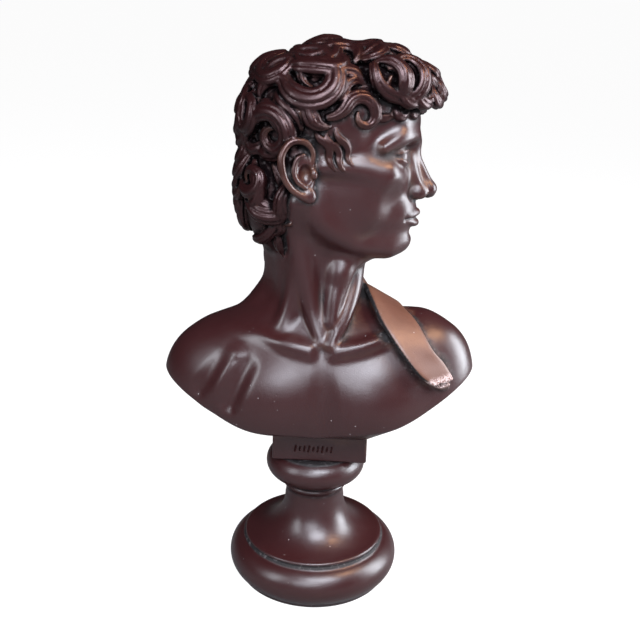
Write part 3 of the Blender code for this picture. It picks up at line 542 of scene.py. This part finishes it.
def lock_plan():
    """Every lock: where it starts on the head, its heading (0 falls from the crown, 90 turns left of
    that), its bends (length, turn), its half width, and its lift at the root, middle and tip."""
    side_locks = [
        ((-46, 96), 170, ((40, -230),), 5.4, (0, 2, 1)),
        ((-42, 106), 180, ((30, -130),), 5.2, (0, 3, 1)),
        ((-45, 92), 90, ((30, -110),), 5.6, (0, 2, 1)),
        ((-48, 66), 60, ((36, 120),), 5.4, (0, 2, 0)),
        ((-50, 78), 150, ((60, -280), (16, -150)), 6.2, (1, 3, 1)),
        ((-28, 116), 345, ((68, 280), (20, 140)), 7.2, (1, 3, 1)),
        ((-29, 119), 65, ((26, 20), (22, 200)), 6.2, (1, 4, 3)),
        ((-31, 122), 135, ((20, -50), (26, -210)), 5.6, (1, 3, 2)),
        ((-9, 129), 120, ((18, -40), (24, -200)), 5.4, (1, 3, 2)),
        ((8, 134), 100, ((14, -50), (36, -270)), 5.4, (1, 3, 2)),
        ((22, 130), 60, ((14, 40), (34, 230)), 5.2, (2, 4, 2)),
        ((-2, 104), 150, ((34, -145),), 5.2, (1, 3, 1)),
        ((-1, 96), 85, ((14, 50), (20, -130)), 4.6, (1, 2, 1)),
        ((0, 87), 75, ((14, 55), (14, -80), (30, -260)), 4.8, (1, 2, 1)),
        ((25, 96), 335, ((26, 150),), 3.2, (0, 1, 0)),
        ((30, 123), 50, ((34, -130),), 4.8, (2, 4, 2)),
        ((38, 119), 60, ((32, -300),), 4.2, (2, 4, 3)),
        ((29, 121), 310, ((24, 35), (42, 240)), 6.2, (2, 4, 3)),
        ((-50, 58), 10, ((14, 20), (12, -70), (18, 140)), 4.8, (1, 2, 1)),
        ((-36, 58), 20, ((12, 20), (14, -70), (20, 160)), 4.2, (1, 1, 1)),
        ((-47, 44), 0, ((10, 30), (16, 110)), 4.4, (1, 1, 0)),
        ((-44, 28), 110, ((32, -260),), 4.6, (1, 1, 0)),
        ((-34, 33), 20, ((14, -30), (22, -30), (12, 40)), 4.2, (1, 1, 0)),
        ((-36, 14), 20, ((20, 15),), 3.8, (0, 1, 0)),
        ((-20, 98), 60, ((14, -60), (14, 80)), 5.6, (0, 2, 0)),
        ((-32, 100), 10, ((14, 40), (16, -80)), 5.4, (0, 2, 0)),
        ((-7, 80), -20, ((9, 60), (10, -70), (11, 60)), 2.8, (0, 1, 0)),
        ((-1, 78), -20, ((9, 60), (10, -70), (9, 60)), 2.7, (0, 1, 0)),
        ((5, 80), -20, ((9, 60), (10, -70), (7, 60)), 2.6, (0, 1, 0)),
    ]
    for (x, z), heading, bends, thick, lift in side_locks:
        yield (x, -52, z), heading, bends, thick, lift
        yield (x, 52, z - 2), -heading, tuple((run, -turn) for run, turn in bends), thick, lift
    chance = np.random.default_rng(7)
    for k in range(34):
        if k < 12:
            start = (-38 + 18 * (k % 4), -14 + 15 * (k // 4), 140)
        else:
            start = (-70, -30 + 20 * (k % 4) + 10 * (k // 4 % 2), 116 - 19 * ((k - 12) // 4))
        turn = chance.choice([-1, 1])
        size = chance.uniform(0.85, 1.15)
        sweep = turn * chance.uniform(200, 330)
        bends = (12 * size, sweep * 0.1), (42 * size, sweep)
        yield start, chance.uniform(-60, 60), bends, 5.4 * size, (0, 3, 2)


def walk(clay, head, start, heading, bends, lift, step=1.6):
    """A line over the skin: it starts under the given point of the head and turns as it goes."""
    crown, aim = head @ Vector((-22, 0, 128)), head @ Vector((-6, 0, 72))
    if abs(start[1]) > 50:
        aim = head @ Vector((start[0] * 0.75, 0, start[2] - 0.6 * max(start[2] - 100, 0)))
    at, up = clay.hit(head @ Vector(start), aim)
    fall = (at - crown) - (at - crown).dot(up) * up
    way = Matrix.Rotation(math.radians(heading), 3, up) @ fall.normalized()
    turns = []
    for run, turn in bends:
        count = max(2, round(run / step))
        tighter = np.linspace(0.6, 1.4, count) if abs(turn) > 150 else np.ones(count)
        turns += [(run / count, turn / count * share) for share in tighter]
    line, normals = [at + up * lift[0]], [up]
    root, middle, tip = lift
    for k, (run, turn) in enumerate(turns):
        way = Matrix.Rotation(math.radians(turn), 3, up) @ way
        at, up = clay.settle(at + way * run)
        way = (way - way.dot(up) * up).normalized()
        t = (k + 1) / len(turns)
        rise = root * (1 - t) ** 2 + 2 * (2 * middle - (root + tip) / 2) * t * (1 - t) + tip * t ** 2
        line.append(at + up * rise)
        normals.append(up)
    return line, normals


def comb_hair(clay, head):
    """Lays every lock over the scalp, roots and tips tapered, each grooved into strands."""
    plans = list(filler_plan()) + list(lock_plan())
    walks = [walk(clay, head, start, heading, bends, lift) for start, heading, bends, thick, lift in plans]
    for (line, ups), plan in zip(walks, plans):
        lay_lock(clay, line, ups, plan[3])
    middle = head @ Vector((0, 0, 80))
    for points, thick in quiff_plan():
        line = through([head @ Vector(p) for p in points], 5)
        lay_lock(clay, line, [Vector(p) - middle for p in line], thick)


def lay_lock(clay, line, ups, thick):
    t = np.linspace(0, 1, len(line))
    shape = np.minimum(1, 0.5 + 2.2 * t) * np.minimum(1, 0.3 + 1.8 * (1 - t))
    clay.ribbon(line, ups, thick * shape, thick * 0.9 * shape, 0.5, 3 if thick > 3.6 else 2, 0.24 * thick)


def quiff_plan():
    """The curls that stand forward over the brow, each a spiral on a tail from the crown."""
    chance = np.random.default_rng(5)
    rows = ((66, 107, 7, 52, 8.6, 5.0), (48, 118, 6, 60, 8.0, 5.2), (56, 98, 8, 46, 5.0, 3.8))
    for reach, height, count, spread, size, thick in rows:
        for k in range(count):
            around = math.radians(-spread + 2 * spread * (k + chance.uniform(-0.2, 0.2)) / (count - 1))
            centre = Vector((10 + (reach - 10) * math.cos(around), 36 * math.sin(around),
                             height - 7 * abs(math.sin(around)) + chance.uniform(-2, 2)))
            left = Vector((-math.sin(around), math.cos(around), 0))
            up = Vector((-0.45 * math.cos(around), -0.45 * math.sin(around), 0.9))
            hand = chance.choice([-1, 1])
            line = [centre * 0.62 + Vector((2, 0, 50)) + left * chance.uniform(-5, 5)]
            line.append((line[0] + centre + up * size) / 2 + Vector((0, 0, 4)) - left * hand * 3)
            for t in np.linspace(0, 1, 9):
                angle = hand * math.radians(90 - 430 * t)
                far = size * (1 - 0.72 * t)
                line.append(centre + left * (far * math.cos(angle)) + up * (far * hand * math.sin(angle)))
            yield line, thick


# The socle

def arc(centre, radius, first, last, steps):
    """Profile points on an arc between two angles in degrees."""
    angles = np.radians(np.linspace(first, last, steps + 1))
    return [(centre[0] + radius * math.cos(a), centre[1] + radius * math.sin(a)) for a in angles]


def turn_socle():
    """The turned foot: a cushion cap, a ringed stem, a hollow flare and a thick rounded base."""
    top = TABLET_FOOT - GAP
    profile = [(0, top), (28.2, top), (28.8, top - 0.2), (29.6, top - 1.2), (30.2, top - 2.0)]
    profile += arc((24.5, 88.5), 10.5, 62, -78, 18)
    profile += [(23.6, 75.6), (23.2, 74.4)]
    profile += arc((20.8, 72.0), 1.9, 60, -60, 8)
    profile += [(20.9, 69.6), (20.6, 68.0), (20.5, 66.0), (20.7, 63.5)]
    profile += arc((49.6, 61.5), 28.5, 180, 268, 24)
    profile += [(49.6, 32.4), (49.8, 31.8), (49.8, 30.2), (50.6, 29.3)]
    profile += arc((SOCLE_RADIUS - 14.2, 14.8), 14.2, 72, -52, 22)
    profile += [(SOCLE_RADIUS - 6.2, 1.6), (SOCLE_RADIUS - 6.8, 0.7), (SOCLE_RADIUS - 8.0, 0), (0, 0)]
    mesh = bpy.data.meshes.new("socle_turned")
    edges = [(i, i + 1) for i in range(len(profile) - 1)]
    mesh.from_pydata([(r * MM, 0, z * MM) for r, z in profile], edges, [])
    socle = bpy.data.objects.new("socle_turned", mesh)
    bpy.context.scene.collection.objects.link(socle)
    activate(socle)
    bpy.ops.object.mode_set(mode="EDIT")
    bpy.ops.mesh.select_all(action="SELECT")
    bpy.ops.mesh.spin(steps=SPIN_STEPS, angle=2 * math.pi, center=(0, 0, 0), axis=(0, 0, 1))
    bpy.ops.mesh.select_all(action="SELECT")
    bpy.ops.mesh.remove_doubles(threshold=0.00002)
    bpy.ops.mesh.normals_make_consistent(inside=False)
    bpy.ops.object.mode_set(mode="OBJECT")
    bpy.ops.object.shade_smooth_by_angle(angle=math.radians(40))
    heights = np.array([v.co.z for v in socle.data.vertices]) / MM
    wide = np.array([math.hypot(v.co.x, v.co.y) for v in socle.data.vertices]) / MM
    # the grooves, the seat under the tablet and the foot on the floor count as hollows: dust lodges there,
    # and they darken with painted shade and the cast's own dark toning
    creases = ((30.2, 1.6, 1.0, 52), (75.6, 1.8, 0.8, 26), (68.0, 2.4, 0.5, 24), (98.5, 1.4, 0.7, 40),
               (0.0, 1.6, 0.7, 70))
    hollow = sum(np.exp(-((heights - z) / reach) ** 2) * share * (wide < most)
                 for z, reach, share, most in creases)
    store(socle.data, "hollow", hollow)
    store(socle.data, "ridge", np.clip((wide - SOCLE_RADIUS + 2) / 2, 0, 1) * 0.25)
    return socle


def name_tablet():
    """The block under the chest, corners worn, with a row of shallow cut strokes on its front."""
    width, depth, height = TABLET
    bpy.ops.mesh.primitive_cube_add(size=1)
    block = bpy.context.object
    block.name = block.data.name = "tablet"
    block.data.transform(Matrix.Translation((SEAT_SHIFT * MM, 0, (TABLET_FOOT + height / 2) * MM))
                         @ Matrix.Diagonal((width * MM, depth * MM, height * MM, 1)))
    bpy.ops.object.mode_set(mode="EDIT")
    bpy.ops.mesh.select_all(action="SELECT")
    bpy.ops.mesh.bevel(offset=1.3 * MM, segments=3, affect="EDGES")
    bpy.ops.mesh.select_all(action="DESELECT")
    bpy.ops.object.mode_set(mode="OBJECT")
    for k in range(STROKES):
        tall = STROKE_HEIGHTS[k % len(STROKE_HEIGHTS)]
        bpy.ops.mesh.primitive_cylinder_add(vertices=4, radius=1, depth=1)
        stroke = bpy.context.object
        place = [d * MM for d in (k * STROKE_STEP - 13, -depth / 2, TABLET_FOOT + 9.4)]
        stroke.data.transform(Matrix.Translation(place) @ turned((0, STROKE_LEAN, 0))
                              @ Matrix.Diagonal((0.8 * MM, 0.8 * MM, tall * MM, 1)))
        combine(block, stroke, "DIFFERENCE")
    return block


def activate(piece):
    """Selects one piece alone, so that operators act on it."""
    bpy.ops.object.select_all(action="DESELECT")
    piece.select_set(True)
    bpy.context.view_layer.objects.active = piece


def combine(whole, other, operation):
    """Joins or cuts with another closed piece, and removes that piece."""
    activate(whole)
    tool = whole.modifiers.new("tool", "BOOLEAN")
    tool.operation = operation
    tool.object = other
    tool.solver = "EXACT"
    bpy.ops.object.modifier_apply(modifier=tool.name)
    bpy.data.objects.remove(other, do_unlink=True)


def build_bust():
    head = head_pose()
    clay = Clay((-112, -62, 108), (112, 62, 388), VOXEL)
    sculpt_torso(clay)
    sculpt_skull(clay, head)
    sculpt_neck(clay, head)
    bald = clay.field.copy()
    cover_scalp(clay, head)
    comb_hair(clay, head)
    hair = bald - clay.field
    lay_strap(clay)
    sculpt_eyes(clay, head)
    sculpt_nose(clay, head)
    sculpt_mouth(clay, head)
    for side in (-1, 1):
        sculpt_ear(clay, head, side)
    bust = clay.skin("bust_cast")
    activate(bust)
    thin = bust.modifiers.new("thin", "DECIMATE")
    thin.ratio = BUST_TRIANGLES / (2 * len(bust.data.polygons))
    bpy.ops.object.modifier_apply(modifier=thin.name)
    combine(bust, name_tablet(), "UNION")
    bust.name = bust.data.name = "bust_cast"
    mark_wear_and_shade(bust, clay, hair)
    bust.data.shade_smooth()
    bust.data.set_sharp_from_angle(angle=math.radians(50))
    flatten_tablet(bust.data)
    return bust


def flatten_tablet(mesh):
    """Shades the tablet's planed faces flat, so that only its worn corners are rounded."""
    count = len(mesh.polygons)
    facing, middles = np.empty(count * 3, np.float32), np.empty(count * 3, np.float32)
    mesh.polygons.foreach_get("normal", facing)
    mesh.polygons.foreach_get("center", middles)
    planed = abs(facing.reshape(-1, 3)).max(axis=1) > 0.99995
    below = middles.reshape(-1, 3)[:, 2] < (TABLET_FOOT + TABLET[2]) * MM
    mesh.polygons.foreach_set("use_smooth", ~(planed & below))


def mark_wear_and_shade(piece, clay, hair):
    """Stores on each point how shut in it is (for the dark toning and painted shade of the hollows), how far
    it stands out, and if it is hair or strap.
    """
    mesh = piece.data
    count = len(mesh.vertices)
    places, ups = np.empty(count * 3, np.float32), np.empty(count * 3, np.float32)
    mesh.vertices.foreach_get("co", places)
    mesh.vertices.foreach_get("normal", ups)
    places, ups = places.reshape(-1, 3) / MM, ups.reshape(-1, 3)
    hollow, ridge = np.zeros(count), np.zeros(count)
    for reach, share in ((1.2, 0.3), (3.0, 0.4), (6.0, 0.3)):
        hollow += share * np.clip(1.0 - clay.sample(places + ups * reach) / reach, 0, 1)
        ridge += share * np.clip(1.0 + clay.sample(places - ups * reach) / reach, 0, 1)
    ridge *= abs(clay.sample(places)) < 1.5
    strap, broken = np.zeros(count), np.zeros(count)
    a, b = strap_rails()
    for i, (p, q) in enumerate(zip(a, b)):
        share = np.clip(((places - p) @ (q - p)) / ((q - p) @ (q - p)), 0, 1)
        away = np.linalg.norm(places - p - share[:, None] * (q - p), axis=1)
        strap = np.maximum(strap, np.clip((6.5 - away) / 2, 0, 1))
        if i == 0:
            broken = np.clip((5.5 - away) / 1.5, 0, 1)
    combed = np.clip(clay.sample(places, hair) / 2.5, 0, 1)
    for name, values in (("hollow", hollow), ("ridge", ridge), ("strap", strap), ("broken", broken),
                         ("hair", combed)):
        store(mesh, name, values)


def store(mesh, name, values):
    """Keeps one number for each point, for the materials to read."""
    mark = mesh.attributes.new(name, "FLOAT", "POINT")
    mark.data.foreach_set("value", np.asarray(values, np.float32))


# The finish

def socketed(name, inputs, outputs):
    """An empty node group with the named sockets."""
    group = bpy.data.node_groups.new(name, "ShaderNodeTree")
    for label, kind in inputs:
        group.interface.new_socket(label, in_out="INPUT", socket_type=kind)
    for label, kind in outputs:
        group.interface.new_socket(label, in_out="OUTPUT", socket_type=kind)
    return group, group.nodes.new("NodeGroupInput"), group.nodes.new("NodeGroupOutput")


def add(tree, kind, links=(), **settings):
    """A node with its settings, and its inputs linked or given values."""
    made = tree.nodes.new(kind)
    for key, value in settings.items():
        setattr(made, key, value)
    for socket, source in dict(links).items():
        if isinstance(source, bpy.types.NodeSocket):
            tree.links.new(source, made.inputs[socket])
        else:
            made.inputs[socket].default_value = source
    return made


def ramp(tree, source, low, high):
    """0 below low, 1 above high, smooth between."""
    made = add(tree, "ShaderNodeMapRange", {"Value": source, "From Min": low, "From Max": high},
               interpolation_type="SMOOTHSTEP")
    return made.outputs["Result"]


def math_node(tree, operation, *values):
    """Arithmetic on sockets and numbers."""
    return add(tree, "ShaderNodeMath", dict(enumerate(values)), operation=operation).outputs[0]


def blend(tree, share, a, b):
    """One colour at share 0 and the other at 1."""
    made = add(tree, "ShaderNodeMix", {"Factor": share}, data_type="RGBA")
    for index, colour in ((6, a), (7, b)):
        if isinstance(colour, bpy.types.NodeSocket):
            tree.links.new(colour, made.inputs[index])
        else:
            made.inputs[index].default_value = (*colour, 1)
    return made.outputs[2]


def cast_grain():
    """The grain of a rough cast: fine pimples, scattered pits and slow waves in the finish."""
    tree, _, made = socketed("cast_grain", (), (("Height", "NodeSocketFloat"),
                                                ("Drift", "NodeSocketFloat")))
    place = add(tree, "ShaderNodeTexCoord").outputs["Object"]
    fine = add(tree, "ShaderNodeTexNoise", {"Vector": place, "Scale": 1300, "Detail": 3, "Roughness": 0.6})
    slow = add(tree, "ShaderNodeTexNoise", {"Vector": place, "Scale": 60, "Detail": 4, "Roughness": 0.6})
    cells = add(tree, "ShaderNodeTexVoronoi", {"Vector": place, "Scale": 260})
    pits = math_node(tree, "SUBTRACT", 1, ramp(tree, cells.outputs["Distance"], 0.06, 0.17))
    rare = ramp(tree, add(tree, "ShaderNodeTexNoise", {"Vector": place, "Scale": 45}).outputs[0], 0.52, 0.66)
    pits = math_node(tree, "MULTIPLY", pits, rare)
    height = math_node(tree, "SUBTRACT", fine.outputs[0], pits)
    tree.links.new(height, made.inputs["Height"])
    tree.links.new(slow.outputs[0], made.inputs["Drift"])
    return tree


def patina_and_painted_shade():
    """Near black in the hollows, the cast's own dark toning and painted shade, the hair as a whole darker
    still as painted shade; warmer where the casting stands out and is rubbed. A metal share in the hair takes
    the grey sheen off it, so that only its ridges catch the light."""
    tree, given, made = socketed("patina_and_painted_shade", (("Drift", "NodeSocketFloat"), ("Cast", "NodeSocketColor"),
                                            ("Rubbed", "NodeSocketColor"), ("Deep", "NodeSocketColor")),
                                 (("Colour", "NodeSocketColor"), ("Depth", "NodeSocketFloat"),
                                  ("Metal", "NodeSocketFloat")))
    hollow = add(tree, "ShaderNodeAttribute", attribute_name="hollow").outputs["Fac"]
    ridge = add(tree, "ShaderNodeAttribute", attribute_name="ridge").outputs["Fac"]
    hair = add(tree, "ShaderNodeAttribute", attribute_name="hair").outputs["Fac"]
    drift = math_node(tree, "MULTIPLY", math_node(tree, "SUBTRACT", given.outputs["Drift"], 0.5), 0.5)
    # painted shade: how shut in a point is, and the hair as a whole, darken it towards Deep; in the hollows
    # this is partly the cast's own dark toning
    shut = math_node(tree, "MULTIPLY_ADD", hair, 0.26, hollow)
    depth = ramp(tree, math_node(tree, "ADD", shut, drift), 0.22, 0.7)
    rub = ramp(tree, math_node(tree, "ADD", ridge, drift), 0.25, 0.85)
    colour = blend(tree, rub, given.outputs["Cast"], given.outputs["Rubbed"])
    tree.links.new(blend(tree, depth, colour, given.outputs["Deep"]), made.inputs["Colour"])
    tree.links.new(depth, made.inputs["Depth"])
    metal = math_node(tree, "MULTIPLY_ADD", depth, 0.4, 0.55)
    tree.links.new(math_node(tree, "MULTIPLY", hair, metal), made.inputs["Metal"])
    return tree


def dust():
    """Pale dust: loose specks all over, and a thin line lodged in the hollows."""
    tree, given, made = socketed("dust", (("Depth", "NodeSocketFloat"),), (("Amount", "NodeSocketFloat"),))
    place = add(tree, "ShaderNodeTexCoord").outputs["Object"]
    cells = add(tree, "ShaderNodeTexVoronoi", {"Vector": place, "Scale": 190})
    specks = math_node(tree, "SUBTRACT", 1, ramp(tree, cells.outputs["Distance"], 0.04, 0.09))
    rare = ramp(tree, add(tree, "ShaderNodeTexNoise", {"Vector": place, "Scale": 70}).outputs[0], 0.56, 0.66)
    crumbs = add(tree, "ShaderNodeTexNoise", {"Vector": place, "Scale": 420, "Detail": 3})
    lodged = ramp(tree, crumbs.outputs[0], 0.55, 0.72)
    lodged = math_node(tree, "MULTIPLY", math_node(tree, "MULTIPLY", lodged, given.outputs["Depth"]), 0.18)
    amount = math_node(tree, "MAXIMUM", math_node(tree, "MULTIPLY", specks, rare), lodged)
    tree.links.new(amount, made.inputs["Amount"])
    return tree


def resin(name, groups, strap=False):
    """Dark bronze-toned resin under a worn coat of wax."""
    grain, tone_and_shade_group, powder = groups
    material = bpy.data.materials.new(name)
    material.use_nodes = True
    tree = material.node_tree
    shader = tree.nodes["Principled BSDF"]
    grains = add(tree, "ShaderNodeGroup", node_tree=grain)
    tone_and_shade_node = add(tree, "ShaderNodeGroup", node_tree=tone_and_shade_group)
    tree.links.new(grains.outputs["Drift"], tone_and_shade_node.inputs["Drift"])
    for label, tone in (("Cast", CAST), ("Rubbed", RUBBED), ("Deep", DEEP)):
        tone_and_shade_node.inputs[label].default_value = (*tone, 1)
    dusts = add(tree, "ShaderNodeGroup", node_tree=powder)
    tree.links.new(tone_and_shade_node.outputs["Depth"], dusts.inputs["Depth"])
    colour = tone_and_shade_node.outputs["Colour"]
    rough = math_node(tree, "MULTIPLY_ADD", grains.outputs["Drift"], 0.2, 0.25)
    rough = math_node(tree, "MULTIPLY_ADD", tone_and_shade_node.outputs["Depth"], 0.35, rough)
    height = grains.outputs["Height"]
    if strap:
        band = add(tree, "ShaderNodeAttribute", attribute_name="strap").outputs["Fac"]
        broken = add(tree, "ShaderNodeAttribute", attribute_name="broken").outputs["Fac"]
        # in the hollows along the strap its colour gives way to the painted shade
        open_band = math_node(tree, "MULTIPLY", band, math_node(tree, "SUBTRACT", 1, tone_and_shade_node.outputs["Depth"]))
        colour = blend(tree, math_node(tree, "MULTIPLY", open_band, 0.75), colour, STRAP_WAX)
        place = add(tree, "ShaderNodeTexCoord").outputs["Object"]
        crumbs = add(tree, "ShaderNodeTexNoise", {"Vector": place, "Scale": 900, "Detail": 4})
        bare = blend(tree, ramp(tree, crumbs.outputs[0], 0.4, 0.6), BARE_DARK, BARE_PALE)
        colour = blend(tree, broken, colour, bare)
        rough = math_node(tree, "MULTIPLY_ADD", band, 0.12, rough)
        rough = math_node(tree, "MULTIPLY_ADD", broken, 0.4, rough)
        height = math_node(tree, "MULTIPLY_ADD", crumbs.outputs[0], broken, height)
    colour = blend(tree, dusts.outputs["Amount"], colour, DUST)
    rough = math_node(tree, "MULTIPLY_ADD", dusts.outputs["Amount"], 0.3, rough)
    tree.links.new(colour, shader.inputs["Base Color"])
    tree.links.new(rough, shader.inputs["Roughness"])
    tree.links.new(tone_and_shade_node.outputs["Metal"], shader.inputs["Metallic"])
    shader.inputs["Specular IOR Level"].default_value = 0.55
    shader.inputs["Coat Roughness"].default_value = 0.3
    wax = math_node(tree, "MULTIPLY_ADD", tone_and_shade_node.outputs["Depth"], -0.2, 0.2)
    tree.links.new(wax, shader.inputs["Coat Weight"])
    bump = add(tree, "ShaderNodeBump", {"Height": height, "Strength": 0.22, "Distance": 0.0004})
    tree.links.new(bump.outputs["Normal"], shader.inputs["Normal"])
    return material


def main():
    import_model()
    bpy.ops.object.select_all(action="DESELECT")
    bust = build_bust()
    socle = turn_socle()
    groups = cast_grain(), patina_and_painted_shade(), dust()
    bust.data.materials.clear()
    socle.data.materials.clear()
    bust.data.materials.append(resin("patinated_resin", groups, strap=True))
    socle.data.materials.append(resin("patinated_socle", groups))
    for piece, node in ((bust, "bust"), (socle, "socle")):
        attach(piece, "root")
        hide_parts(node)
    light_and_camera()


def light_and_camera():
    bpy.context.scene.view_settings.view_transform = "Standard"
    lay_floor()
    glow_of_room()
    for name, place, wide, tall, power, colour in LAMPS:
        data = bpy.data.lights.new(name, "AREA")
        data.shape = "RECTANGLE"
        data.size, data.size_y, data.energy, data.color = wide, tall, power, colour
        lamp = bpy.data.objects.new(name, data)
        bpy.context.scene.collection.objects.link(lamp)
        lamp.location = place
        lamp.rotation_euler = (Vector(AIM) - Vector(place)).to_track_quat("-Z", "Y").to_euler()
    data = bpy.data.cameras.new("camera")
    data.sensor_width, data.lens = 36, CAMERA_LENS
    camera = bpy.data.objects.new("camera", data)
    bpy.context.scene.collection.objects.link(camera)
    camera.matrix_world = (turned((0, 0, CAMERA_ROUND)) @ Matrix.Translation(CAMERA_PLACE)
                           @ turned((90 - CAMERA_DOWN, 0, 0)) @ turned((0, 0, CAMERA_ROLL)))
    bpy.context.scene.camera = camera


def lay_floor():
    """A plain floor that looks pale to the camera and throws little light back up."""
    bpy.ops.mesh.primitive_plane_add(size=FLOOR_WIDTH)
    floor = bpy.context.object
    floor.name = floor.data.name = "floor"
    paper = bpy.data.materials.new("pale_floor")
    paper.use_nodes = True
    tree = paper.node_tree
    shader = tree.nodes["Principled BSDF"]
    shader.inputs["Base Color"].default_value = (0.2, 0.2, 0.2, 1)
    shader.inputs["Roughness"].default_value = 0.9
    shader.inputs["Emission Color"].default_value = (1, 1, 1, 1)
    seen = add(tree, "ShaderNodeLightPath").outputs["Is Camera Ray"]
    tree.links.new(math_node(tree, "MULTIPLY", seen, PALE), shader.inputs["Emission Strength"])
    floor.data.materials.append(paper)


def glow_of_room():
    """The room: pale to the camera, a faint glow to everything else."""
    world = bpy.data.worlds.new("studio")
    bpy.context.scene.world = world
    world.use_nodes = True
    tree = world.node_tree
    seen = add(tree, "ShaderNodeLightPath").outputs["Is Camera Ray"]
    sky = tree.nodes["Background"]
    tree.links.new(blend(tree, seen, SKY_GLOW, (PALE, PALE, PALE)), sky.inputs["Color"])
    sky.inputs["Strength"].default_value = 1


main()
